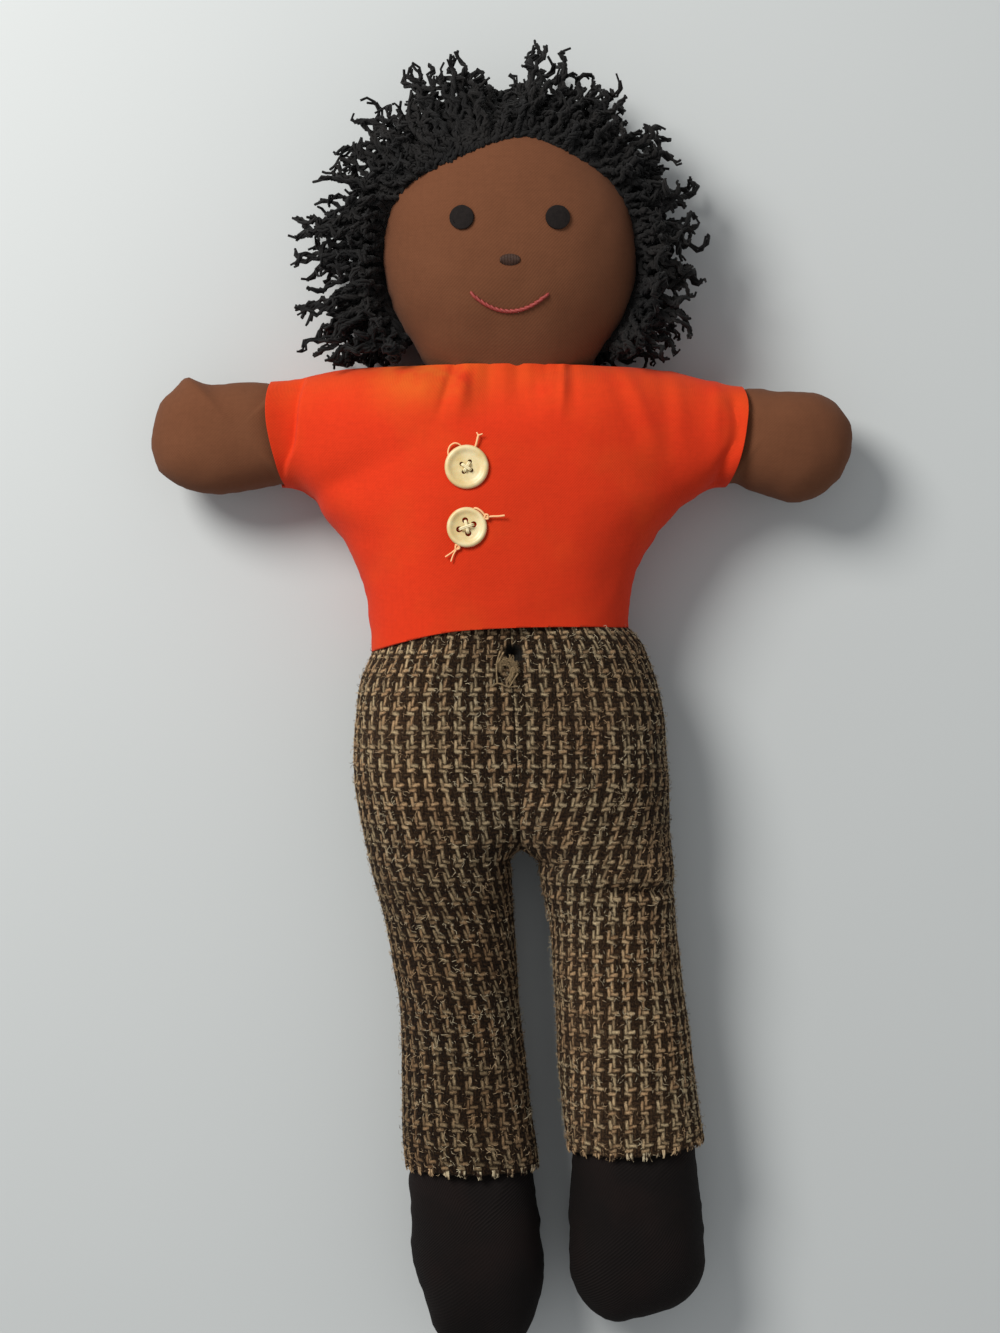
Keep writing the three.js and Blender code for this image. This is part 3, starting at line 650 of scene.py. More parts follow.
# Folds that the photograph shows: start, end, width, height
top_folds = [((-14.2, 99), (-19.5, 82), 1.4, -1.3), ((-10.8, 99), (-14.5, 80), 2.2, 1.0),
             ((-21, 98), (-25, 84), 2.6, 0.4), ((-7.8, 99), (-8.4, 88), 1.4, 0.35),
             ((-4.6, 99), (-4.9, 87), 1.3, -0.4), ((-0.4, 99), (-0.6, 84), 1.8, 0.45),
             ((3.4, 99), (3.6, 89), 1.2, -0.35), ((6.6, 99), (7.6, 82), 1.8, 0.45),
             ((11.6, 99), (12.0, 88), 1.3, -0.4), ((16.9, 99), (16.0, 82), 1.2, 1.0),
             ((19.4, 99), (20.0, 84), 1.6, -0.7), ((35, 96), (45, 70), 2.2, 0.65),
             ((31, 94), (40, 68), 2.6, -0.35), ((49.5, 94), (51.5, 72), 2.4, 0.45),
             ((45.5, 93), (47.5, 70), 2.4, -0.35), ((61.5, 93), (60.5, 70), 2.0, 0.45),
             ((-44, 95), (-46, 68), 4.0, 0.3), ((-50, 62), (-36, 50), 3.0, 0.3),
             ((44, 56), (32, 40), 3.0, 0.3), ((-38, 40), (-30, 26), 2.6, -0.25),
             ((34, 36), (26, 24), 2.6, 0.25)]

# Where the two buttons are sewn down, in photo pixels
button_spots = {"upper_button": (466.6, 466.4), "lower_button": (466.8, 527.0)}
chest_height = 49.5  # the buttons' own height over the table
sewn_down = [on_photo(px, py, chest_height) for px, py in button_spots.values()]


def fold_height(x, y, folds):
    """Height of soft folds: each rises along its middle line and dies out towards its ends."""
    total = 0
    for (ax, ay), (bx, by), width, height in folds:
        run = math.hypot(bx - ax, by - ay)
        along = ((x - ax) * (bx - ax) + (y - ay) * (by - ay)) / run
        beside = abs((x - ax) * (by - ay) - (y - ay) * (bx - ax)) / run
        if beside < 3 * width and along < run + 4:
            fade = smoothstep(-6, 0, along) * (1 - smoothstep(0.35 * run, run + 4, along))
            total += height * fade * math.exp(-(beside / width) ** 2)
    return total


def seam_level(x):
    """The side and shoulder seams drop from the trunk towards the ends of the sleeves."""
    return 24.0 - 5.0 * smoothstep(20, 62, abs(x))


def top_swell(x, y, z):
    """How far the top's cloth stands in or out at a point, with z measured from the seam."""
    swell = 0.3 * lumps(x, y, z + 9, 16)
    # The folds are the photograph's in front, and are lower and mirrored at the back
    front = smoothstep(-2, 6, z)
    swell += front * fold_height(x, y, top_folds)
    swell += (1 - front) * fold_height(-x, y, top_folds) * 0.8
    along = y if y < 61 else x
    swell += 0.45 * pucker(along, z, 5.0, 5 if x > 0 else 6)
    if z > 10:
        swell -= sum(1.2 * math.exp(-((x - bx) ** 2 + (y - by) ** 2) / 26) for bx, by in sewn_down)
    if x > 50:
        valley = math.exp(-((x - left_valley(y)) / 2.1) ** 2)
        swell -= 1.3 * valley * smoothstep(1.5, 7, z) * (1 - smoothstep(86, 93, y))
    return swell


def cuff_drop(x, y, z):
    """How far the right cuff sinks below the crease it comes out of, rising again to its hem."""
    beyond = right_crease(y) - x
    width = max(right_crease(y) - right_hem(y), 0.5)
    drop = 4.2 * min(width / 8.5, 1) * max(1 - max(beyond, 0) / width, 0)
    return smoothstep(-0.5, 0.6, beyond) * drop * smoothstep(1, 7, z) * (1 - smoothstep(92, 97, y))


def mesh_from(source, name):
    """A piece's mesh with its modifiers applied."""
    graph = bpy.context.evaluated_depsgraph_get()
    made = bpy.data.meshes.new_from_object(source.evaluated_get(graph))
    made.name = name
    return made


rough = in_scene("top_rough", bpy.data.meshes.new("top_rough"))
bm = bmesh.new()
for axis, stations in ((1, trunk_stations), (1, collar_stations),
                       (0, right_sleeve_stations), (0, left_sleeve_stations)):
    tube(bm, rings_along(axis, stations))
bmesh.ops.recalc_face_normals(bm, faces=bm.faces)
bm.to_mesh(rough.data)
bm.free()
remesh = rough.modifiers.new("one_skin", "REMESH")
remesh.mode = "VOXEL"
remesh.voxel_size = 0.7
bm = bmesh.new()
bm.from_mesh(mesh_from(rough, "top_skin"))
bpy.data.objects.remove(rough)
smoothing_passes = 52
for _ in range(smoothing_passes):
    bmesh.ops.smooth_vert(bm, verts=bm.verts, factor=0.5,
                          use_axis_x=True, use_axis_y=True, use_axis_z=True)


def everything():
    return bm.verts[:] + bm.edges[:] + bm.faces[:]


bmesh.ops.bisect_plane(bm, geom=everything(), plane_co=(0, 0, 0), plane_no=(0, 0, 1))
for point, way in (((0, neck_edge_y, 0), (0, 1, 0)),
                   ((-sleeve_cut, 0, 0), (-1, 0, 0)),
                   ((sleeve_cut, 0, 0), (1, 0, 0)),
                   ((0, waist_cut, 0), (waist_slope, -1, 0))):
    bmesh.ops.bisect_plane(bm, geom=everything(), plane_co=point, plane_no=way, clear_outer=True)
bm.normal_update()
for vert in bm.verts:
    x, y, z = vert.co
    if abs(x) > 50:
        hem = left_hem(y) if x > 0 else right_hem(y) - 1.5 * smoothstep(2, -4, z)
        share = smoothstep(50, sleeve_cut, abs(x))
        x += (hem - math.copysign(sleeve_cut, x)) * share
        vert.co.x = x
    way = vert.normal.copy()
    if z > 6:
        way = way.lerp(Vector((0, 0, 1)), smoothstep(88, 95, y))
    vert.co = vert.co + way * top_swell(x, y, z)
    if x < -50:
        vert.co.z -= cuff_drop(x, y, z)
    lower = 1 - smoothstep(22, 34, y)
    edge_line = waist_cut + waist_slope * x
    vert.co.y += (waist_edge(x) - edge_line) * lower * smoothstep(-12, 0, z)
    vert.co.z = settled(vert.co.z + seam_level(x))


def in_order(bm, faces):
    """Blender lists the faces it extrudes in another order each run, so they are sorted by place."""
    bm.faces.index_update()
    numbers = sorted(face.index for face in faces)
    for number, face in zip(numbers, sorted(faces, key=lambda f: f.calc_center_median()[:])):
        face.index = number
    bm.faces.sort()


def turned_in(bm, edges, inward, depth_way, thickness, depth):
    """Turns a raw edge in: over its thickness towards the middle, and then back inside."""
    for is_edge in (True, True, False):
        drawn = bmesh.ops.extrude_edge_only(bm, edges=edges)["geom"]
        edges = [e for e in of_kind(drawn, bmesh.types.BMEdge) if e.is_boundary]
        for vert in of_kind(drawn, bmesh.types.BMVert):
            vert.co += inward(vert.co) * thickness * 0.5 if is_edge else depth_way * depth
        in_order(bm, of_kind(drawn, bmesh.types.BMFace))


def toward(x, z, along):
    """The way from a point in to the middle line of its tube."""
    def way(point):
        if along == "x":
            return Vector((0, x - point.y, z - point.z)).normalized()
        return Vector((x - point.x, 0, z - point.z)).normalized()
    return way


open_edges = [e for e in bm.edges if e.is_boundary]
waist_hem = [e for e in open_edges if e.verts[0].co.y < 40]
collar = [e for e in open_edges if e.verts[0].co.y > 96.5 and abs(e.verts[0].co.x) < 40]
right_cuff = [e for e in open_edges if e.verts[0].co.x < -58]
left_cuff = [e for e in open_edges if e.verts[0].co.x > 58]
turned_in(bm, waist_hem, toward(0, 22, "y"), Vector((0, 1, 0)), 1.0, 5)
turned_in(bm, collar, toward(1, 24, "y"), Vector((0, -1, 0)), 0.9, 4)
turned_in(bm, right_cuff, toward(79.5, 19, "x"), Vector((1, 0, 0)), 0.9, 1.8)
turned_in(bm, left_cuff, toward(79, 19, "x"), Vector((-1, 0, 0)), 0.9, 5)
bmesh.ops.recalc_face_normals(bm, faces=bm.faces)

arm_line = 40
for way in (-1, 1):
    bmesh.ops.bisect_plane(bm, geom=everything(), plane_co=(way * arm_line, 0, 0), plane_no=(1, 0, 0))
bm.normal_update()
whole_normal = bm.verts.layers.float_vector.new("whole_normal")
for vert in bm.verts:
    vert[whole_normal] = vert.normal
top_map = bm.loops.layers.uv.new("cloth")
for face in bm.faces:
    for loop in face.loops:
        x, y, z = loop.vert.co
        rise = z - seam_level(x)
        turned = 0.5 * min(max(x / 8, -1), 1) * (24 - rise)
        loop[top_map].uv = (x + turned, y + 0.35 * rise)


def faded(tree):
    """Sun and handling have turned the cloth yellower in front of the neck."""
    place = object_place(tree)
    high = ramp(tree, place[1], 0.079, 0.099)
    beside = calc(tree, "ABSOLUTE", calc(tree, "ADD", place[0], 0.022))
    near = calc(tree, "SUBTRACT", 1.0, ramp(tree, beside, 0.004, 0.022))
    share = calc(tree, "MULTIPLY", high, calc(tree, "MULTIPLY_ADD", near, 0.75, 0.22))
    return calc(tree, "MULTIPLY", share, ramp(tree, grain(tree, 70, 3), 0.2, 0.6))


def painted_chest_shade(tree):
    """Painted shade: the middle of the chest is painted a little darker, where less light falls on its upward face."""
    place = object_place(tree)
    across = calc(tree, "MULTIPLY_ADD", place[0], 36.0, -0.25)
    up = calc(tree, "MULTIPLY_ADD", place[1], 28.0, -1.25)
    away = calc(tree, "ADD", calc(tree, "MULTIPLY", across, across), calc(tree, "MULTIPLY", up, up))
    return calc(tree, "MULTIPLY", calc(tree, "SUBTRACT", 1.0, ramp(tree, away, 0.0, 1.5)), 0.26)


# The top gets its own fading in front of the neck, and a painted shade over the middle of the chest.
orange_cotton = cotton_material("orange_cotton", (0.67, 0.037, 0.0085), (0.60, 0.125, 0.014),
                                faded, painted_chest_shade)


def part_of(whole, keep, name, material):
    """One piece of the sewn top, shaded as if it were still in one."""
    part = whole.copy()
    others = [f for f in part.faces if not keep(f.calc_center_median())]
    bmesh.ops.delete(part, geom=others, context="FACES")
    piece = new_piece(name, part, material)
    normals = np.zeros(len(piece.data.vertices) * 3, np.float32)
    piece.data.attributes["whole_normal"].data.foreach_get("vector", normals)
    piece.data.normals_split_custom_set_from_vertices(normals.reshape(-1, 3))
    piece.data.attributes.remove(piece.data.attributes["whole_normal"])
    return piece


trunk = part_of(bm, lambda c: abs(c.x) < arm_line, "top_trunk", orange_cotton)
right_sleeve = part_of(bm, lambda c: c.x < -arm_line, "right_sleeve", orange_cotton)
left_sleeve = part_of(bm, lambda c: c.x > arm_line, "left_sleeve", orange_cotton)
bm.free()
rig.ride(trunk, "torso")
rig.replaces(trunk, "top_front_panel", "top_back_panel", "torso_stuffing")
for side, sleeve, way in (("right", right_sleeve, -1), ("left", left_sleeve, 1)):
    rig.blend(sleeve, "torso", f"{side}_arm",
             start=(way * 0.0405, 0.08, 0.0225), end=(way * 0.0665, 0.08, 0.0225))
    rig.replaces(sleeve, f"{side}_sleeve_front", f"{side}_sleeve_back", f"{side}_arm_stuffing")
for piece in (trunk, right_sleeve, left_sleeve):
    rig.slot(piece, "orange_cotton")
    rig.padded(piece, fill=0.85)


# The trousers are two panels of coarse tweed, a left and a right half. Each wraps one side of the
# seat and one leg, meets its other edge at the inside of the leg and the other half at the centre
# seam. The raw hem frays over the boot.
crotch = (4.65, -42.8)
hem_y = {"right": -135.6, "left": -130.6}
waist_top = 27.0
outer_edge = {
    "right": curve_through([(-141, -28.4), (-131, -29.8), (-116, -30.4), (-101.6, -30.1),
                            (-86.9, -31.0), (-75.2, -33.2), (-63.4, -35.6), (-51.6, -38.6),
                            (-39.9, -41.3), (-28.1, -43.4), (-16.3, -44.4), (-4.6, -43.9), (7.2, -42.2),
                            (15.4, -38.6), (21, -36.6), (28, -34.5)]),
    "left": curve_through([(-138, 58.9), (-131.1, 58.5), (-125.2, 57.9), (-113.4, 56.4), (-101.6, 55.0),
                           (-86.9, 52.9), (-75.2, 51.4), (-63.4, 50.3), (-51.6, 49.4), (-39.9, 48.8),
                           (-28.1, 48.2), (-16.3, 47.6), (1.3, 45.6), (13.1, 42.2), (18.5, 39.6),
                           (21.5, 36.8), (23.5, 34.2), (28, 32.5)])}
inner_edge = {
    "right": curve_through([(-141, 10.3), (-131.1, 9.4), (-116.3, 7.2), (-101.6, 5.4), (-86.9, 3.9),
                            (-72.2, 3.1), (-57.5, 2.3), (-48.7, 1.9), (-45.6, 1.9), (-44.4, 2.7),
                            (-43.2, 4.2), (-20, 3.6), (28, 1.2)]),
    "left": curve_through([(-138, 19.2), (-131.1, 18.5), (-116.3, 16.7), (-101.6, 15.6), (-81, 14.3),
                           (-62, 12.9), (-55, 11.0), (-48.7, 9.9), (-45.6, 9.2), (-44.4, 7.4),
                           (-43.2, 5.1), (-20, 3.8), (28, 1.4)])}
ridge_share = curve_through([(-141, 0.5), (-50, 0.5), (-20, 0.53), (0, 0.5), (14, 0.38), (28, 0.3)])
trouser_depth = curve_through([(-141, 19.2), (-110, 19.5), (-80, 19.8), (-60, 20.6), (-45, 21.8),
                               (-30, 22.9), (-12, 23.4), (4, 23.1), (12, 22.7), (16.5, 22.1),
                               (20, 21.3), (24, 20.5), (28, 19.7)])
trouser_rise = curve_through([(-141, -0.5), (-60, -0.5), (12, -0.5), (22, 2.2), (28, 2.8)])
valley_growth = curve_through([(-43, 1.0), (-40, 1.06), (-36, 1.28), (-30, 1.75), (-20, 2.7), (-5, 4.2),
                               (28, 6.5)])

# Warp threads on each side of the outer line, their spacing, and how far they have turned round the leg
ends_front = 68
ends_back = 86
end_pitch = curve_through([(-141, 1.21), (-110, 1.17), (-80, 1.11), (-50, 1.11), (-22, 1.16),
                           (28, 1.16)])
twist = {
    "right": curve_through([(-141, 5.5), (-110, 4.6), (-70, 2.6), (-42, 0.4), (-30, 0), (28, 0)]),
    "left": curve_through([(-141, 17.0), (-100, 13.6), (-56, 10.4), (-51, 9.6), (-38, 4.6), (-24, 0.9),
                           (-12, 0), (28, 0)])}
full_seat = -22  # above this the columns draw together towards the waist
pick_pitch = 1.365
thread_relief = 0.34
leg_round = 2.15  # 2 makes a leg's section an ellipse, and more makes it fuller
thigh_crease = -53.8
waist_height = 45
waist_hollow = on_photo(513, 654, waist_height)
curl_hole = on_photo(502.5, 675, waist_height)


def centre_line(y):
    """Where the two halves meet, in front and behind."""
    return crotch[0] + (1.3 - crotch[0]) * (y - crotch[1]) / (waist_top - crotch[1])


def trouser_arc(side, y):
    """The front half of a half's cross-section, from the outer side in and past the centre."""
    inner = inner_edge[side](y)
    outer = outer_edge[side](y)
    way = math.copysign(1, outer - inner)
    ridge = inner + (outer - inner) * ridge_share(y)
    deep = trouser_depth(y)
    reach_in = abs(ridge - inner) * (valley_growth(y) if y > crotch[1] else 1.0)
    reach_out = abs(outer - ridge)
    points = []
    for step in range(181):
        turn = math.pi * step / 180
        share = math.cos(turn)
        reach = reach_out if share > 0 else reach_in
        across = math.copysign(abs(share) ** (2 / leg_round), share) * reach
        points.append((ridge + way * across, deep * max(math.sin(turn), 0) ** (2 / leg_round)))
    return np.array(points), deep + trouser_rise(y)


def relief_of(end_half, pick_half):
    """How high the woven cloth stands at a place in half threads: 1 on a thread, 0 in a gap."""
    end_index = end_half // 2
    pick_index = pick_half // 2
    on_end = end_half % 2 == 1
    on_pick = pick_half % 2 == 1

    def warp_on_top(end, pick):
        return (end + pick) % 4 in (0, 3)

    if on_end and on_pick:
        return 0.8
    if on_end:
        above, below = warp_on_top(end_index, pick_index - 1), warp_on_top(end_index, pick_index)
        return 1.0 if above and below else 0.25 if above != below else 0.0
    if on_pick:
        before, after = warp_on_top(end_index - 1, pick_index), warp_on_top(end_index, pick_index)
        return 1.0 if not before and not after else 0.25 if before != after else 0.0
    return 0.0


def dent(x, y, middle, width, length):
    """1 at the middle of a soft hollow in the cloth, dying out round it."""
    return math.exp(-((x - middle[0]) / width) ** 2 - ((y - middle[1]) / length) ** 2)


def trouser_half(side):
    """One wrapped panel as a grid of half threads, with the map in threads."""
    length = waist_top - hem_y[side]
    pick_count = round(length / pick_pitch)
    columns, rows = 2 * (ends_front + ends_back), 2 * pick_count
    bm = bmesh.new()
    threads = bm.loops.layers.uv.new("threads")
    grid = bmesh.ops.create_grid(bm, x_segments=columns, y_segments=rows, size=0.5)["verts"]
    lines = []
    seat_ends = None
    for row in range(rows, -1, -1):
        y = waist_top - length * row / rows
        arc, level = trouser_arc(side, y)
        run = np.concatenate([[0], np.cumsum(np.hypot(*np.diff(arc, axis=0).T))])
        spacing = end_pitch(y)
        if y > full_seat:
            way = 1 if side == "right" else -1
            past_centre = way * (arc[:, 0] - centre_line(y))
            to_centre = float(np.interp(0, past_centre, run))
            seat_ends = seat_ends or to_centre / spacing
            spacing = to_centre / seat_ends
        # The whole section from the back's inner end, round the outer line, to the front's
        whole_run = np.concatenate([-run[:0:-1], run])
        whole_x = np.concatenate([arc[:0:-1, 0], arc[:, 0]])
        whole_z = np.concatenate([-arc[:0:-1, 1], arc[:, 1]])
        even = (np.arange(columns + 1) / 2 - ends_back) * spacing + twist[side](y)
        xs = np.interp(even, whole_run, whole_x)
        zs = level + np.interp(even, whole_run, whole_z)
        lines.append((y, xs, zs))
    lines.reverse()
    spots = {}
    for vert in grid:
        column = round((vert.co.x + 0.5) * columns)
        row = round((0.5 - vert.co.y) * rows)
        y, xs, zs = lines[row]
        spots[vert] = (column if side == "right" else columns - column, row)
        vert.co = (xs[column], y, zs[column])
    for face in bm.faces:
        for loop in face.loops:
            column, row = spots[loop.vert]
            loop[threads].uv = (column / 2, row / 2)
    bmesh.ops.remove_doubles(bm, verts=bm.verts, dist=0.2)
    bm.normal_update()
    if sum(f.normal.z for f in bm.faces if f.calc_center_median().z > 35) < 0:
        bmesh.ops.reverse_faces(bm, faces=bm.faces)
        bm.normal_update()
    raw_ends = []
    for vert in bm.verts:
        column, row = spots[vert]
        x, y, z = vert.co
        out = vert.normal.copy()
        swell = 0.45 * lumps(x + 100, y, z, 19)
        swell += thread_relief * relief_of(column, row) - 0.15
        if z > 30:
            swell -= 5.0 * dent(x, y, waist_hollow, 2.5, 2.5)
            swell -= 2.2 * dent(x, y, curl_hole, 1.3, 2.0)
            swell -= 0.8 * dent(x, y, (1.4, 13), 6, 7)
        if side == "left":
            across = 0.3 + 0.7 * smoothstep(20, 36, x)
            across *= smoothstep(4, 14, z) * (0.05 + 0.95 * smoothstep(20, 34, z))
            swell += across * 1.2 * math.exp(-((y - thigh_crease - 4.6) / 3.6) ** 2)
            swell -= across * 1.5 * math.exp(-((y - thigh_crease) / 1.4) ** 2)
            swell += across * 0.5 * math.exp(-((y - thigh_crease + 3.2) / 2.0) ** 2)
        vert.co = vert.co + out * swell
        edge_share = smoothstep(hem_y[side] + 14, hem_y[side], y)
        uneven = 0.5 * noise.noise(Vector((x / 4, z / 4, 3))) + 2.4 * smoothstep(38, 58, x)
        vert.co.y += edge_share * uneven
        vert.co.z = settled(vert.co.z)
        if row == rows and column % 8 in (1, 3) and vert.co.z > 3:
            raw_ends.append((vert.co.copy(), out))
    return bm, raw_ends


def weave_color(tree, threads):
    """The tweed's threads: a twill of two ends over two picks, two light and two dark each way."""
    split = put_node(tree, "ShaderNodeSeparateXYZ", [("Vector", threads)])
    across, down = split.outputs[0], split.outputs[1]
    end = calc(tree, "FLOOR", across)
    pick = calc(tree, "FLOOR", down)
    in_end = calc(tree, "FRACT", across)
    in_pick = calc(tree, "FRACT", down)
    # The weave repeats over four crossings: the warp lies on top at the first and the last of them,
    # and each float, of warp or of weft, is two crossings long
    turn = calc(tree, "FLOORED_MODULO", calc(tree, "ADD", end, pick), 4.0)
    first = calc(tree, "LESS_THAN", turn, 0.5)
    last = calc(tree, "GREATER_THAN", turn, 2.5)
    warp_up = calc(tree, "ADD", first, last)
    middle = calc(tree, "GREATER_THAN", turn, 1.5)
    weft_start = calc(tree, "SUBTRACT", middle, last)
    warp_run = calc(tree, "ADD", in_pick, first)
    weft_run = calc(tree, "ADD", in_end, weft_start)
    hue = grain(tree, 1.0, 2, threads, stretch=(0.06, 0.06, 1))

    def thread(cross, run, index, long_way, float_id):
        """One set of threads; each float of it has its own brightness, place, slant and width."""
        white = put_node(tree, "ShaderNodeTexWhiteNoise", [("Vector", float_id)]).outputs["Color"]
        own = put_node(tree, "ShaderNodeSeparateXYZ", [("Vector", white)])
        wobble = grain(tree, 1.3, 3.0, threads, 0.65, long_way)
        along = calc(tree, "SUBTRACT", run, 1.0)
        along_square = calc(tree, "MULTIPLY", along, along)
        slant = calc(tree, "MULTIPLY", calc(tree, "MULTIPLY_ADD", own.outputs[1], 0.44, -0.22), along)
        moved = calc(tree, "MULTIPLY_ADD", own.outputs[2], 0.24, -0.62)
        offset = calc(tree, "ADD", calc(tree, "ADD", calc(tree, "ADD", cross, moved), slant), calc(
            tree, "MULTIPLY", calc(tree, "SUBTRACT", wobble, 0.5), 0.8))
        half_width = calc(tree, "MULTIPLY_ADD", along_square, -0.07, calc(
            tree, "MULTIPLY_ADD", wobble, 0.50, calc(tree, "MULTIPLY_ADD", own.outputs[0], 0.10, 0.12)))
        body = ramp(tree, calc(tree, "SUBTRACT", half_width, calc(tree, "ABSOLUTE", offset)), -0.17, 0.20)
        shape = calc(tree, "MULTIPLY_ADD", calc(tree, "MULTIPLY", offset, offset), -2.4, calc(
            tree, "MULTIPLY_ADD", along_square, -0.35, 1.0))
        light = calc(tree, "LESS_THAN", calc(tree, "FLOORED_MODULO", index, 4.0), 1.5)
        tint = grain(tree, 2.2, 4.0, threads, 0.75, long_way, start=(7, 3, 0))
        bright = calc(tree, "ADD", share_of(tree, tint, 0.38, 0.76, 0.70),
                      calc(tree, "MULTIPLY", own.outputs[0], 0.27))
        reddish = ramp(tree, calc(tree, "MULTIPLY_ADD", own.outputs[1], 0.28, hue), 0.50, 0.78)
        dull = blend_color(tree, reddish, (0.104, 0.064, 0.033), (0.124, 0.063, 0.031))
        clear = blend_color(tree, reddish, (0.73, 0.580, 0.350), (0.70, 0.470, 0.255))
        pale = blend_color(tree, bright, dull, clear)
        deep = blend_color(tree, ramp(tree, tint, 0.42, 0.78),
                           (0.0065, 0.0032, 0.0018), (0.078, 0.041, 0.020))
        return body, shape, blend_color(tree, light, deep, pale)

    warp_id = put_node(tree, "ShaderNodeCombineXYZ", [(0, end), (1, calc(tree, "SUBTRACT", pick, first))])
    weft_id = put_node(tree, "ShaderNodeCombineXYZ", [
        (0, calc(tree, "SUBTRACT", end, weft_start)), (1, pick), (2, 7.0)])
    warp_body, warp_shape, warp_color = thread(in_end, warp_run, end, (2.6, 0.5, 1), warp_id.outputs[0])
    weft_body, weft_shape, weft_color = thread(in_pick, weft_run, pick, (0.5, 2.6, 1), weft_id.outputs[0])
    color = blend_color(tree, warp_up, weft_color, warp_color)

    def chosen(weft, warp):
        made = put_node(tree, "ShaderNodeMix", data_type="FLOAT")
        for socket, value in ((0, warp_up), (2, weft), (3, warp)):
            tree.links.new(value, made.inputs[socket])
        return made.outputs[0]

    body = chosen(weft_body, warp_body)
    shape = chosen(weft_shape, warp_shape)
    shade = calc(tree, "MULTIPLY", body, shape)
    return color, body, shade


def tweed_material():
    made, tree, shader = new_material("brown_tweed", roughness=0.95, sheen=0.02, specular=0.06)
    threads = put_node(tree, "ShaderNodeUVMap", uv_map="threads").outputs[0]
    fray = put_node(tree, "ShaderNodeTexNoise", [("Vector", threads), ("Scale", 3.3), ("Detail", 5.0),
                                                 ("Roughness", 0.75)]).outputs[1]
    fray = put_node(tree, "ShaderNodeVectorMath", [(0, fray), (1, (0.5, 0.5, 0.5))], operation="SUBTRACT")
    fray = put_node(tree, "ShaderNodeVectorMath", [(0, fray.outputs[0]), (3, 1.1)], operation="SCALE")
    threads = put_node(tree, "ShaderNodeVectorMath", [(0, threads), (1, fray.outputs[0])],
                       operation="ADD").outputs[0]
    color, body, shade = weave_color(tree, threads)
    patch = grain(tree, 30, 3)
    gap = (0.0075, 0.0037, 0.0022)
    color = blend_color(tree, share_of(tree, patch, 0.35, 0.75, 0.22), color, (0.085, 0.050, 0.030))
    color = blend_color(tree, calc(tree, "MULTIPLY_ADD", shade, 0.9, 0.06), gap, color)
    matted = ramp(tree, grain(tree, 1.0, 4, threads, roughness=0.8, stretch=(3.1, 2.2, 1)), 0.48, 0.74)
    color = blend_color(tree, calc(tree, "MULTIPLY", matted, 0.46), color, (0.19, 0.122, 0.062))
    place = object_place(tree)
    # The left leg and the right hip are bleached, and the right leg has darkened
    for across, along, tone in (((0.006, 0.020), (-0.035, -0.075), (1.42, 1.40, 1.36)),
                                ((-0.004, -0.028), (-0.05, -0.012), (1.42, 1.40, 1.36)),
                                ((0.004, -0.006), (-0.03, -0.06), (0.76, 0.72, 0.68))):
        here = calc(tree, "MULTIPLY", ramp(tree, place[0], *across), ramp(tree, place[1], *along))
        color = blend_color(tree, here, color, tone, "MULTIPLY")
    # Painted shade: the hollow in front of the waist is painted nearly black on the upper side, standing in for the
    # shade that falls in it.
    beside = calc(tree, "MULTIPLY_ADD", place[0], 350.0, -0.35 * waist_hollow[0])
    above = calc(tree, "MULTIPLY_ADD", place[1], 345.0, -0.345 * waist_hollow[1])
    away = calc(tree, "ADD", calc(tree, "MULTIPLY", beside, beside), calc(tree, "MULTIPLY", above, above))
    deep = calc(tree, "MULTIPLY", calc(tree, "SUBTRACT", 1.0, ramp(tree, away, 0.3, 1.5)),
                calc(tree, "GREATER_THAN", place[2], 0.03))
    color = blend_color(tree, calc(tree, "MULTIPLY", deep, 0.96), color, (0.0085, 0.0080, 0.0065))
    fuzz = grain(tree, 2600, 4, roughness=0.75)
    height = calc(tree, "MULTIPLY_ADD", fuzz, 0.5, shade)
    finish_material(tree, shader, color, height, 0.32)
    return made


def grown(name, strands, material, thickness):
    """Strands of yarn as four-sided tubes in one mesh, each a list of (x, y, z, width)."""
    curve = bpy.data.curves.new(name, "CURVE")
    curve.dimensions = "3D"
    curve.bevel_depth = thickness * mm
    curve.bevel_resolution = 0
    curve.use_fill_caps = True
    for strand in strands:
        spline = curve.splines.new("POLY")
        spline.points.add(len(strand) - 1)
        spline.points.foreach_set("co", [c for x, y, z, w in strand for c in (x * mm, y * mm, z * mm, 1)])
        spline.points.foreach_set("radius", [w for x, y, z, w in strand])
    holder = in_scene(name, curve)
    mesh = mesh_from(holder, name)
    bpy.data.objects.remove(holder)
    return smooth_piece(name, mesh, material)


def fibre_material():
    """Single wool fibres and thread ends, from beige to dark brown."""
    made, tree, shader = new_material("tweed_fibre", roughness=0.9, specular=0.1)
    tone = grain(tree, 520, 2)
    pink = grain(tree, 60, 2)
    pale = blend_color(tree, ramp(tree, pink, 0.4, 0.6), (0.60, 0.50, 0.33), (0.50, 0.33, 0.18))
    color = blend_color(tree, ramp(tree, tone, 0.36, 0.6), (0.035, 0.020, 0.012), pale)
    finish_material(tree, shader, color)
    return made


fibre_chance = random.Random(88)


def loose_fibres(mesh, count):
    """Short wool fibres that stand out of the cloth all over a mesh in metres."""
    fibres = []
    for _ in range(count):
        polygon = mesh.polygons[fibre_chance.randrange(len(mesh.polygons))]
        start = polygon.center / mm
        out = polygon.normal
        way = out.cross(Vector([fibre_chance.gauss(0, 1) for _ in range(3)])).normalized()
        bend = out.cross(way) * fibre_chance.uniform(-0.5, 0.5)
        length = fibre_chance.uniform(0.7, 2.3)
        rise = fibre_chance.uniform(0.15, 0.85)
        middle = start + way * length * 0.5 + bend * length * 0.5 + out * rise
        end = start + way * length + out * rise * fibre_chance.uniform(0.1, 1.1)
        from_hollow = math.hypot(start.x - waist_hollow[0], start.y - waist_hollow[1])
        if min(middle.z, end.z) > 0.3 and not (from_hollow < 4 and start.z > 20):
            fibres.append([(*(start - out * 0.1), 0.34), (*middle, 0.30), (*end, 0.18)])
    return fibres


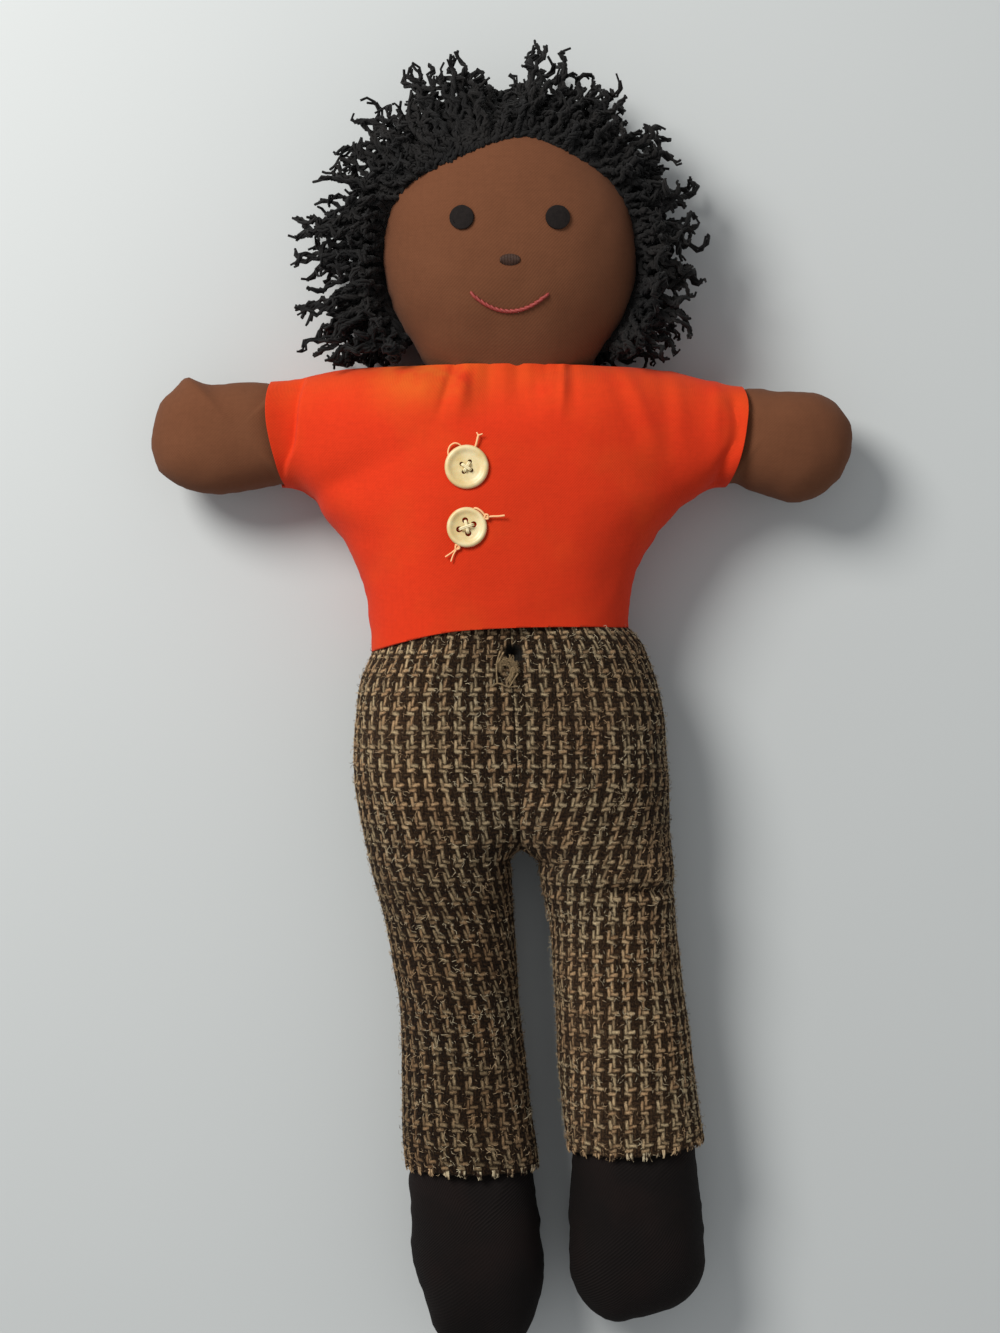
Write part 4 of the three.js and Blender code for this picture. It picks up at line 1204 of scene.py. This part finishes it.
def frayed_ends(raw_ends):
    """Ends of the pale threads that hang out of the raw hem."""
    strands = []
    for spot, out in raw_ends:
        round_hem = Vector((out.z, 0, -out.x))
        for _ in range(4):
            drop = fibre_chance.uniform(0.3, 1.3)
            sway = fibre_chance.gauss(0, 0.3)
            beside = round_hem * fibre_chance.uniform(-0.4, 0.4)
            first = spot + beside + Vector((0, 1.3, 0)) + out * 0.05
            middle = spot + beside + out * 0.1 + round_hem * sway * 0.5
            last = middle + Vector((0, -drop, 0)) + round_hem * sway - out * 0.3
            strands.append([(*first, 0.9), (*middle, 0.9), (*last, 0.4)])
    return strands


brown_tweed = tweed_material()
tweed_fibre = fibre_material()
lean = (centre_line(waist_top) - crotch[0]) / (waist_top - crotch[1])
seat_from = crotch[1] - 1.0
for side, away in (("right", 1), ("left", -1)):
    bm, raw_ends = trouser_half(side)
    # The seat is cut off at the centre seam, and the leg below it is left whole
    seat = [v for v in bm.verts if v.co.y > seat_from]
    seat += [g for g in bm.edges[:] + bm.faces[:] if all(v.co.y > seat_from for v in g.verts)]
    bmesh.ops.bisect_plane(bm, geom=seat, dist=0.0001, clear_outer=True,
                           plane_co=(crotch[0], crotch[1], 0), plane_no=(away, -away * lean, 0))
    edges = [e for e in bm.edges if e.is_boundary]
    hem = [e for e in edges if max(v.co.y for v in e.verts) < hem_y[side] + 3]
    ridge_x = (inner_edge[side](hem_y[side]) + outer_edge[side](hem_y[side])) / 2
    turned_in(bm, hem, toward(ridge_x, 19, "y"), Vector((0, 1, 0)), 1.3, 6)
    waist = [e for e in edges if e.is_valid and min(v.co.y for v in e.verts) > waist_top - 2]
    turned_in(bm, waist, toward(2, 22, "y"), Vector((0, -1, 0)), 1.2, 2)
    centre = [e for e in bm.edges if e.is_boundary and e.verts[0].co.y > crotch[1] - 3
              and e.verts[0].co.y < waist_top - 1 and abs(e.verts[0].co.x - 3) < 6]
    inward = -0.55 * away
    turned_in(bm, centre, lambda p, way=inward: Vector((way, 0, math.copysign(1, 22 - p.z))).normalized(),
              Vector((inward, 0, 0)), 1.6, 1.2)
    bmesh.ops.recalc_face_normals(bm, faces=bm.faces)
    piece = new_piece(f"{side}_trousers", bm, brown_tweed)
    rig.blend(piece, "torso", f"{side}_leg", start=(0.0, -0.012, 0.023), end=(0.0, -0.052, 0.023))
    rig.slot(piece, "brown_tweed")
    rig.padded(piece, fill=0.85)
    nodes = [f"trousers_{side}_seat", f"{side}_trouser_leg", f"{side}_leg_stuffing"]
    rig.replaces(piece, *nodes + (["seat_stuffing"] if side == "right" else []))
    fibres = loose_fibres(piece.data, 5600) + frayed_ends(raw_ends)
    wool = grown(f"{side}_trouser_wool", fibres, tweed_fibre, 0.2)
    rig.blend(wool, "torso", f"{side}_leg", start=(0.0, -0.012, 0.023), end=(0.0, -0.052, 0.023))
    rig.slot(wool, "brown_tweed")


# The hair is dark kinked yarn, sewn in rows round the head along the hairline, the seam and the
# back. Each lock is a few plies that twist round one path and curl at the tip.
hairline = seam_line([(38.6, 124), (38.0, 132), (36.4, 141), (30.4, 150.7), (19.5, 157.4), (12, 161),
                      (5, 162.6), (-3, 160.6), (-14, 156), (-26, 150.5), (-33.4, 142), (-35.6, 130),
                      (-34.4, 118), (-30, 106), (-20, 96), (1.25, 90), (22, 96),
                      (33, 109)], head_middle)
head_seam = seam_line(head_outline, head_middle)
halo = curve_through([(-50, 48), (-38, 55.5), (-15, 58), (3, 57.5), (20, 56), (37, 54), (56, 55.5),
                      (75, 55), (87, 56.5), (94, 42), (101, 56), (110, 59), (127, 58), (141, 58),
                      (155, 55.5), (165, 60), (180, 63), (194, 65), (210, 68), (228, 60)])
neck_clear = 99.4  # the yarn stays above the collar
chance = random.Random(2607)
noise.seed_set(1795733459)  # without it the yarn's kinks take theirs from the clock, another each run


def ways_beside(ahead):
    """Two directions at right angles to a strand and to each other."""
    side_way = ahead.cross(Vector((0, 0, 1))).normalized()
    return side_way, side_way.cross(ahead)


def lock_path(root, lift, tip, count):
    """A kinked path from a root over a raised point to a tip, which curls."""
    path = []
    seed = chance.uniform(0, 100)
    curl = chance.uniform(1.0, 2.4)
    curl_turn = chance.uniform(0, 2 * math.pi)
    curl_way = chance.choice((-1, 1))
    crimps = (tip - root).length / chance.uniform(4.0, 6.5)
    side_way, up_way = ways_beside((tip - root).normalized())
    for step in range(count):
        t = step / (count - 1)
        point = root * (1 - t) ** 2 + lift * (2 * t * (1 - t)) + tip * t * t
        kink = noise.noise_vector(Vector((5.5 * t, seed, 0))) * 1.9 * (0.15 + t)
        kink += side_way * 0.42 * math.sin(2 * math.pi * crimps * t + seed)
        turn = curl_turn + curl_way * 17 * max(t - 0.66, 0)
        share = smoothstep(0.66, 0.88, t)
        path.append(point + kink + (side_way * math.cos(turn) + up_way * math.sin(turn)) * curl * share)
    return path


def plies_of(path, count, spread):
    """Plies that twist round one path, kinked, with their tips curling apart."""
    plies = []
    turn_start = chance.uniform(0, 2 * math.pi)
    twist_turns = chance.choice((-1, 1)) * chance.uniform(8, 12)
    for ply in range(count):
        share = chance.uniform(0.9, 1.0)
        steps = round(share * (len(path) - 1))
        own = turn_start + 2 * math.pi * ply / count + chance.uniform(-0.4, 0.4)
        seed = chance.uniform(0, 100)
        strand = []
        for step in range(steps + 1):
            t = step / (len(path) - 1)
            ahead = (path[min(step + 1, len(path) - 1)] - path[max(step - 1, 0)]).normalized()
            side_way, up_way = ways_beside(ahead)
            angle = own + twist_turns * math.pi * t
            kink = noise.noise_vector(Vector((16 * t, seed, 4))) * (0.4 + 0.4 * t)
            point = path[step] + (side_way * math.cos(angle) + up_way * math.sin(angle)) * spread + kink
            width = 1.1 - 0.12 * t - 0.12 * max(step - steps + 2, 0) / 2
            strand.append((point.x, max(point.y, neck_clear), max(point.z, 0.6), width))
        plies.append(strand)
    return plies


def scalp_point(degrees, share, beyond, rise, is_back):
    """A place on the head between the hairline (0) and the seam (1), or beyond it by millimetres."""
    turn = math.radians(degrees)
    seam_reach, line_reach = head_seam(turn)[0], hairline(turn)[0]
    reach = seam_reach * share if is_back else line_reach + (seam_reach - line_reach) * share
    x, y = head_middle[0] + reach * math.cos(turn), head_middle[1] + reach * math.sin(turn)
    inside = min(reach / seam_reach, 0.999)
    bulge = head_depth(x, y) * (1 - inside ** 2.3) ** 0.5
    z = head_level(x, y) + (-bulge if is_back else bulge)
    return Vector((x + beyond * math.cos(turn), y + beyond * math.sin(turn), max(z + rise, 1.6)))


def group_of(root, is_back):
    if is_back:
        return "back"
    if root.y > 150:
        return "crown"
    return "left" if root.x > 0 else "right"


def grow_rows():
    """All locks, and the yarn laid along the rows they grow from, in four groups."""
    groups, laid = ({group: [] for group in ("crown", "left", "right", "back")} for _ in range(2))
    # Each row: is it at the back; share of the way from the hairline to the seam, or of the seam
    # inwards; how far its tips reach towards the halo's edge; lowest and highest tip; degrees a lock
    rows = ((False, 0.0, 0.70, 32, 43, 2.9), (False, 0.12, 0.82, 30, 43, 3.1),
            (False, 0.35, 0.92, 26, 40, 3.7), (False, 0.62, 1.02, 21, 36, 4.4),
            (False, 0.85, 0.93, 16, 31, 3.8), (False, 1.0, 1.03, 11, 25, 4.8),
            (False, 0.97, 0.84, 8, 20, 4.8), (True, 0.97, 0.90, 4, 16, 3.8),
            (True, 0.90, 1.01, 3, 11, 4.8), (True, 0.78, 0.84, 1.5, 6, 3.8),
            (True, 0.55, 0.68, 1.2, 3, 6.5))
    for is_back, share, extent, low, high, spacing in rows:
        degrees = -44.0  # from beside the chin, round over the crown, to its other side
        while degrees < 224:
            root = scalp_point(degrees, share, 0, 0, is_back)
            tuft_index = round(degrees / 9)
            tuft_turn = 9 * tuft_index + 4 * noise.noise(Vector((1.7 * tuft_index, 9, 0)))
            aim = math.radians(degrees + 0.35 * (tuft_turn - degrees) + chance.gauss(0, 5))
            tuft = 1 + 0.08 * noise.noise(Vector((2.3 * tuft_index, 5, 0)))
            far = halo(math.degrees(aim)) * extent * tuft * chance.uniform(0.86, 1.03)
            far = max(far, (root.xy - Vector(head_middle)).length + 7)
            tip = Vector((head_middle[0] + far * math.cos(aim), head_middle[1] + far * math.sin(aim),
                          chance.uniform(low, high)))
            tip.y = max(tip.y, 101)
            rise = chance.uniform(-1, 2) if is_back else chance.uniform(1, 7)
            lift = (root + tip) / 2 + Vector((0, 0, rise))
            path = lock_path(root, lift, tip, 24)
            plies = plies_of(path, chance.choice((3, 3, 4)), chance.uniform(0.38, 0.52))
            groups[group_of(root, is_back)] += plies
            degrees += chance.uniform(0.8, 1.2) * spacing
    # Each laid row: is it at the back; share; how far beyond the surface; how far above it
    laid_rows = ((False, 0.06, 0.2, -0.3), (False, 0.3, 0.6, -0.1), (False, 0.55, 0.8, 0.0),
                 (False, 0.8, 1.2, 0.4), (False, 0.92, 1.4, 0.8), (False, 1.0, 2.0, 1.5),
                 (True, 1.0, 2.6, -0.4), (True, 0.7, 1.6, -0.6), (False, 0.18, 0.4, -0.2),
                 (False, 0.42, 0.7, -0.1), (False, 0.68, 1.0, 0.2), (False, 0.97, 0.9, 0.5),
                 (True, 0.99, 1.0, -0.5), (True, 0.94, 1.4, -0.8), (True, 0.86, 1.4, -0.8),
                 (True, 1.0, 4.2, -2.0), (True, 0.98, 4.5, -2.5), (True, 0.96, 4.0, -2.5),
                 (True, 0.9, 3.2, -1.5), (True, 0.8, 2.5, -1.0), (True, 1.0, 7.2, -5.0),
                 (True, 0.95, 7.5, -6.0))
    for is_back, share, beyond, rise in laid_rows:
        for ply in range(3):
            degrees = -42.0
            strand = []
            seed = chance.uniform(0, 100)
            current = None
            while degrees < 222:
                root = scalp_point(degrees, share, beyond, rise, is_back)
                group = group_of(root, is_back)
                if current is not None and group != current and len(strand) > 1:
                    laid[current].append(strand)
                    strand = []
                current = group
                turn = degrees * 0.35 + 2 * math.pi * ply / 3
                out = (root.xy - Vector(head_middle)).normalized()
                kink = noise.noise_vector(Vector((degrees / 2.2, seed, 0))) * 0.9
                x = root.x + out.x * 0.8 * math.cos(turn) + kink.x
                y = max(root.y + out.y * 0.8 * math.cos(turn) + kink.y, 99.8)
                strand.append((x, y, max(root.z + 0.8 * math.sin(turn) + kink.z, 0.8), 1.6))
                degrees += 1.6
            laid[current].append(strand)
    return {group: groups[group] + laid[group] for group in groups}


def yarn_material():
    made, tree, shader = new_material("dark_yarn", roughness=0.78, sheen=0.04, specular=0.22)
    tint = grain(tree, 90, 3)
    fibre = grain(tree, 1800, 4, roughness=0.7)
    color = blend_color(tree, ramp(tree, tint, 0.35, 0.7),
                        (0.0022, 0.0020, 0.0021), (0.0075, 0.0062, 0.0056))
    color = blend_color(tree, share_of(tree, fibre, 0.5, 0.8, 0.5), color, (0.017, 0.015, 0.0145))
    finish_material(tree, shader, color, fibre, 0.12)
    return made


dark_yarn = yarn_material()
for group, strands in grow_rows().items():
    piece = grown(f"hair_{group}_yarn", strands, dark_yarn, 0.46)
    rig.ride(piece, "head")
    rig.slot(piece, "dark_yarn")
    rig.replaces(piece, f"hair_{group}")


# The face is plain: two round felt eyes, a satin-stitched nose and a stitched smile, all sewn flat
# on the face panel.
def surface_of(piece):
    """The height and the outward way of a piece's upper side over a place on the table."""
    tree = BVHTree.FromObject(piece, bpy.context.evaluated_depsgraph_get())

    def at(x, y):
        hit, normal, _, _ = tree.ray_cast(Vector((x * mm, y * mm, 0.2)), Vector((0, 0, -1)))
        return hit.z / mm, normal

    return at


def plain_material(name, base, roughness=0.9, specular=0.2, fibre_scale=1500, relief=0.08, shade=0.62,
                   tinted=None):
    """Thread or felt of one colour, with fine fibres. tinted is its colour where its "warmth" is 1."""
    made, tree, shader = new_material(name, roughness=roughness, specular=specular)
    fibre = grain(tree, fibre_scale, 4, roughness=0.7)
    color = blend_color(tree, ramp(tree, fibre, 0.3, 0.75), tuple(shade * c for c in base), base)
    if tinted is not None:
        warmth = put_node(tree, "ShaderNodeAttribute", attribute_name="warmth").outputs["Fac"]
        color = blend_color(tree, warmth, color, tinted)
    finish_material(tree, shader, color, fibre, relief)
    return made


face_at = surface_of(head)
dark_felt = plain_material("dark_felt", (0.012, 0.0085, 0.0075), fibre_scale=900, relief=0.15)
brown_thread = plain_material("brown_thread", (0.052, 0.022, 0.012), roughness=0.6, specular=0.35)
rose_thread = plain_material("rose_thread", (0.36, 0.055, 0.046), roughness=0.55, specular=0.35)

eye_radius = 3.4
eye_y = 138.27
for side, eye_x in (("right", -12.25), ("left", 14.75)):
    bm = bmesh.new()
    bmesh.ops.create_circle(bm, cap_ends=True, segments=56, radius=eye_radius)
    face = list(bm.faces)
    for shrink, climb in ((0.0, 0.75), (0.10, 0.17), (0.16, 0.06), (0.7, 0.04), (1.0, 0.02), (1.0, 0.0)):
        drawn = bmesh.ops.extrude_face_region(bm, geom=face)["geom"]
        face = of_kind(drawn, bmesh.types.BMFace)
        for vert in face[0].verts:
            reach = vert.co.xy.length
            vert.co.xy *= (reach - shrink) / reach
            vert.co.z += climb
    bmesh.ops.recalc_face_normals(bm, faces=bm.faces)
    for vert in bm.verts:
        x, y, rise = vert.co
        wobble = 1 + 0.02 * noise.noise(Vector((x, y, 3 if side == "left" else 5)))
        x, y = eye_x + x * wobble, eye_y + y * wobble
        level, normal = face_at(x, y)
        vert.co = Vector((x, y, level - 0.05)) + normal * rise
    eye = new_piece(f"{side}_felt_eye", bm, dark_felt)
    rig.ride(eye, "head")
    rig.slot(eye, "dark_felt")
    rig.replaces(eye, f"{side}_eye")


def stitch(start, end, width, climb):
    """One short stitch that lies on the face, its ends going into the cloth."""
    strand = []
    for step in range(9):
        t = step / 8
        x = start[0] + (end[0] - start[0]) * t
        y = start[1] + (end[1] - start[1]) * t
        level, normal = face_at(x, y)
        over = climb * math.sin(math.pi * t) ** 0.6 - 0.12
        strand.append((x + normal.x * over, y + normal.y * over, level + normal.z * over, width))
    return strand


nose_y = 126.27
nose_stitches = []
for step in range(13):
    across = (step - 6) / 6
    x = head_middle[0] + 2.55 * across
    half = 1.55 * (1 - 0.8 * across ** 2) ** 0.5
    nose_stitches.append(stitch((x, nose_y - half), (x + 0.1, nose_y + half), 1.0, 0.5))

mouth_half = 11.0
mouth_sag = 5.0
mouth_y = 114.77


def smile(t):
    """A point of the mouth's line, from -1 at its right end to 1 at its left."""
    return head_middle[0] + mouth_half * t, mouth_y - mouth_sag * (1 - t * t) + 2.5


mouth_stitches = []
for step in range(15):
    before, after = -1 + 2 * step / 15.6, -1 + 2 * (step + 1.6) / 15.6
    a, b = smile(before), smile(min(after, 1))
    mouth_stitches.append(stitch((a[0], a[1] + 0.22), (b[0], b[1] - 0.22), 1.0, 0.62))
for name, strands, material, slot, thickness, node in (
        ("nose_stitches", nose_stitches, brown_thread, "brown_thread", 0.30, "nose"),
        ("smile_stitches", mouth_stitches, rose_thread, "rose_thread", 0.48, "mouth")):
    piece = grown(name, strands, material, thickness)
    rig.ride(piece, "head")
    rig.slot(piece, slot)
    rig.replaces(piece, node)


# Two four-hole shell buttons are sewn to the front of the top with cream thread, knotted with loose
# ends at their edges.
def shell_material():
    made, tree, shader = new_material("ivory_shell", roughness=0.42, specular=0.5)
    shader.inputs["Coat Weight"].default_value = 0.12
    shader.inputs["Coat Roughness"].default_value = 0.25
    shader.inputs["Subsurface Weight"].default_value = 0.05
    shader.inputs["Subsurface Scale"].default_value = 0.0015
    cloud = grain(tree, 170, 4, roughness=0.6)
    streak = grain(tree, 420, 3, stretch=(1, 0.3, 1))
    color = blend_color(tree, ramp(tree, cloud, 0.3, 0.72), (0.62, 0.46, 0.20), (0.74, 0.62, 0.36))
    color = blend_color(tree, share_of(tree, streak, 0.5, 0.75, 0.25), color, (0.56, 0.40, 0.17))
    finish_material(tree, shader, color, streak, 0.04)
    return made


ivory_shell = shell_material()
cream_thread = plain_material("cream_thread", (0.93, 0.80, 0.50), roughness=0.7, specular=0.3,
                              fibre_scale=2500, shade=0.85, tinted=(0.92, 0.50, 0.24))
chest_at = surface_of(trunk)
cloth_height = 48.5  # the top's front round the buttons


def on_chest(px, py, rise):
    """A place of the photograph brought onto the top's front, in millimetres."""
    x, y = on_photo(px, py, cloth_height + rise)
    level = chest_at(x, y)[0]
    return Vector((x, y, level + rise))


def sewn_button(name, radius, holes, hole_radius, tails):
    """A button with its holes drilled, and its thread. holes are offsets in photo pixels.
    The thread crosses the button from hole to hole, and tails are its free ends."""
    x, y = on_photo(*button_spots[name], chest_height)
    rest = max(chest_at(x + 0.85 * radius * math.cos(t), y + 0.85 * radius * math.sin(t))[0]
               for t in (0, 0.8, 1.6, 2.4, 3.1, 3.9, 4.7, 5.5)) - 0.4
    bm = bmesh.new()
    profile = [(0, 0), (0.86 * radius, 0), (0.955 * radius, 0.25), (radius, 0.8), (0.99 * radius, 1.35),
               (0.955 * radius, 1.75), (0.9 * radius, 1.95), (0.83 * radius, 1.95),
               (0.76 * radius, 1.76), (0.69 * radius, 1.44), (0.58 * radius, 1.27), (0.4 * radius, 1.2),
               (0.2 * radius, 1.18), (0, 1.18)]
    verts = [bm.verts.new((px, 0, pz)) for px, pz in profile]
    edges = [bm.edges.new(pair) for pair in zip(verts, verts[1:])]
    bmesh.ops.spin(bm, geom=verts + edges, cent=(0, 0, 0), axis=(0, 0, 1), angle=2 * math.pi, steps=72,
                   use_merge=True)
    bmesh.ops.remove_doubles(bm, verts=bm.verts, dist=0.01)
    bmesh.ops.recalc_face_normals(bm, faces=bm.faces)
    disc = new_piece(f"{name}_disc", bm, ivory_shell)
    pegs = bmesh.new()
    per_pixel = (camera_height - chest_height) / (camera_height - scale_height) / pixels_per_mm
    spots = [(dx * per_pixel, -dy * per_pixel) for dx, dy in holes]
    for hx, hy in spots:
        made = bmesh.ops.create_cone(pegs, cap_ends=True, segments=24, radius1=hole_radius,
                                     radius2=hole_radius, depth=6)["verts"]
        bmesh.ops.translate(pegs, vec=(hx, hy, 1), verts=made)
    drill = new_piece(f"{name}_pegs", pegs, ivory_shell)
    cut = disc.modifiers.new("holes", "BOOLEAN")
    cut.object = drill
    cut.solver = "EXACT"
    soften = disc.modifiers.new("rims", "BEVEL")
    soften.width = 0.12 * mm
    soften.segments = 2
    soften.angle_limit = math.radians(50)
    mesh = mesh_from(disc, f"{name}_shell")
    bpy.data.objects.remove(drill)
    bpy.data.objects.remove(disc)
    lift = Matrix.Translation((x * mm, y * mm, rest * mm))
    mesh.transform(lift)
    mesh.set_sharp_from_angle(angle=math.radians(38))
    button = in_scene(f"{name}_shell", mesh)
    middle = Vector((x, y, rest))
    strands = []
    # Each pass of the needle: from and to which hole, how high it arches, and how far to one side
    for a, b, over, nudge in ((0, 2, 0.62, 0.16), (1, 3, 0.95, 0.16),
                              (0, 2, 0.55, -0.2), (1, 3, 0.8, -0.2)):
        start, end = Vector((*spots[a], 0)), Vector((*spots[b], 0))
        beside = (end - start).normalized().cross(Vector((0, 0, 1))) * nudge
        strand = []
        for step in range(17):
            t = step / 16
            spread = 0.98 - 0.1 * math.sin(math.pi * t)
            flat = start.lerp(end, 0.5 + (t - 0.5) * spread) + beside
            height = 0.35 + (1.12 + over) * min(1, 3.6 * math.sin(math.pi * t)) ** 0.8
            strand.append((*(middle + flat + Vector((0, 0, height))), 1.0))
        strands.append(strand)
    thread = grown(f"{name}_sewing", strands + tails, cream_thread, 0.27)
    warmth = thread.data.attributes.new("warmth", "FLOAT", "POINT")
    warmth.data.foreach_set("value", [
        smoothstep(0.85 * radius, radius, math.dist(v.co.xy / mm, (x, y))) for v in thread.data.vertices])
    for piece, slot, node in ((button, "ivory_shell", name), (thread, "cream_thread", f"{name}_thread")):
        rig.ride(piece, "torso")
        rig.slot(piece, slot)
        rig.replaces(piece, node)


def loose_end(width, *points):
    """A thread's free end over the cloth, through points of the photograph (px, py, height over it)."""
    spots = [on_chest(px, py, 0.3 + extra) for px, py, extra in points]
    strand = []
    for i in range(len(spots) - 1):
        for step in range(5):
            point = smooth_between(spots[max(i - 1, 0)], spots[i], spots[i + 1],
                                   spots[min(i + 2, len(spots) - 1)], step / 5)
            strand.append((point.x, point.y, max(point.z, chest_at(point.x, point.y)[0] + 0.2), width))
    strand.append((*spots[-1], 0.8 * width))
    return strand


upper_tails = [
    loose_end(0.95, (450, 459, 0.1), (448, 452, 0.3), (450, 445.5, 0.6), (455, 442.6, 0.7),
              (460, 444.5, 0.4), (462, 448, 0.1)),
    loose_end(1.25, (474, 449, 0.1), (475.8, 445, 0.5), (477.2, 439.5, 0.9), (478.6, 433.5, 1.0)),
    loose_end(0.8, (478.2, 435, 1.0), (476.6, 431.6, 1.1)),
    loose_end(0.8, (478.2, 435, 1.0), (482.6, 433.2, 1.3))]
lower_tails = [
    loose_end(1.15, (474, 508.2, 0.9), (477, 508.4, 1.2), (481.5, 511.3, 1.3), (485.5, 516, 1.0),
              (486.5, 517.6, 0.8)),
    loose_end(1.1, (483.6, 514.5, 1.0), (487.6, 514.8, 1.2), (488.0, 518.6, 0.9), (484.6, 518.4, 0.9),
              (485.2, 515.2, 1.3)),
    loose_end(1.1, (486.5, 517, 0.8), (492, 516.4, 0.9), (499, 516.2, 1.0), (504.8, 515.4, 1.3)),
    loose_end(0.85, (459.5, 545, 0.3), (457, 547.8, 0.5), (452, 552.2, 0.5), (445.2, 556.8, 0.8)),
    loose_end(0.85, (459, 545.6, 0.4), (456.6, 549, 0.6), (453.2, 554.8, 0.5), (450.9, 561.4, 0.7)),
    loose_end(1.1, (455, 545.2, 0.6), (458.4, 544.8, 0.9), (459.4, 548.2, 0.6), (455.8, 549, 0.7),
              (455.6, 545.8, 0.9))]
upper_holes = ((3.2, -5.1), (4.6, 3.5), (-2.8, 5.1), (-5.1, -2.8))
lower_holes = ((-1.7, -6.9), (6.9, -2.8), (1.4, 6.2), (-7.7, 2.2))
sewn_button("upper_button", 6.3, upper_holes, 0.62, upper_tails)
sewn_button("lower_button", 5.75, lower_holes, 0.86, lower_tails)


# A small curl of undyed yarn lies in a hollow in front of the waist, where the halves were tied.
def curled_knot():
    halves = [surface_of(bpy.data.objects[f"{side}_trousers"]) for side in ("right", "left")]

    def level(x, y):
        """The height of the cloth. A half that doesn't reach this place gives none."""
        heights = [waist_height]
        for half_at in halves:
            try:
                heights.append(half_at(x, y)[0])
            except AttributeError:
                continue
        return max(heights)

    def yarn_along(points, plies, spread, width, rise):
        """Twisted plies along a route of photo pixels (px, py, extra height) over the cloth."""
        spots = [(*on_photo(px, py, waist_height), extra) for px, py, extra in points]
        places = list(range(len(spots)))
        x_at, y_at, z_at = (curve_through([(i, spots[i][k]) for i in places]) for k in range(3))
        count = 7 * len(spots)
        made = []
        for ply in range(plies):
            strand = []
            for step in range(count + 1):
                t = (len(spots) - 1) * step / count
                turn = 2.6 * t + 2 * math.pi * ply / plies
                x = x_at(t) + spread * math.cos(turn)
                y = y_at(t) + 0.5 * spread * math.sin(turn)
                strand.append((x, y, level(x, y) + rise + z_at(t) + spread * math.sin(turn), width))
            made.append(strand)
        return made

    pale_threads = (((503.6, 652.0, 0.2), (500.6, 658.0, 0.4), (497.6, 663.6, 0.3)),
                    ((500.2, 650.8, 0.1), (498.4, 657.5, 0.3), (496.8, 663.0, 0.3), (496.6, 672.0, 0.5),
                     (497.2, 683.0, 0.2)),
                    ((491.8, 686.4, 0.0), (497.6, 683.4, 0.3), (503.4, 685.2, 0.3), (509.0, 686.8, 0.2),
                     (517.6, 686.4, 0.0)),
                    ((517.8, 673.6, 0.3), (513.4, 680.6, 0.8), (508.6, 688.0, 0.3)))
    wad = ((499.2, 670.5, -0.2), (500.4, 664.0, 0.2), (504.6, 659.6, 0.4), (510.4, 659.6, 0.4),
           (515.0, 664.0, 0.2), (515.4, 671.0, 0.1), (512.4, 678.0, 0.0), (509.8, 683.0, -0.3))
    strands = []
    for route in pale_threads:
        strands += yarn_along(route, 2, 0.11, 0.55, 0.3)
    hole = (503.2, 676.0)
    for layer in range(4):
        share = 1 - 0.11 * layer
        route = [(hole[0] + (px - hole[0]) * share + fibre_chance.gauss(0, 0.5),
                  hole[1] + (py - hole[1]) * share + fibre_chance.gauss(0, 0.5), extra - 0.1 * layer)
                 for px, py, extra in wad]
        strands += yarn_along(route, 4, 0.30, 0.42, 0.0)
    for _ in range(70):
        px, py = wad[fibre_chance.randrange(1, 6)][:2]
        px += fibre_chance.gauss(0, 1.3)
        py += fibre_chance.gauss(0, 1.3)
        way = fibre_chance.uniform(0, math.pi)
        reach = fibre_chance.uniform(1.5, 4)
        across, up = reach * math.cos(way), reach * math.sin(way)
        route = [(px - across, py - up, 0.0), (px, py, 0.5), (px + across, py + up, 0.0)]
        strands += yarn_along(route, 1, 0.08, 0.2, 0.3)
    return grown("waist_curl", strands, undyed_yarn, 0.32)


undyed_yarn = plain_material("undyed_yarn", (0.35, 0.245, 0.13), fibre_scale=2200, shade=0.4)
curl = curled_knot()
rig.ride(curl, "torso")
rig.slot(curl, "brown_tweed")
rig.replaces(curl, "waist_knot")


size_check = {"cad": [list(corner) for corner in cad_box], "visual": [list(corner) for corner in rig.bounds()]}
with open("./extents.json", "w") as out:
    json.dump(size_check, out)
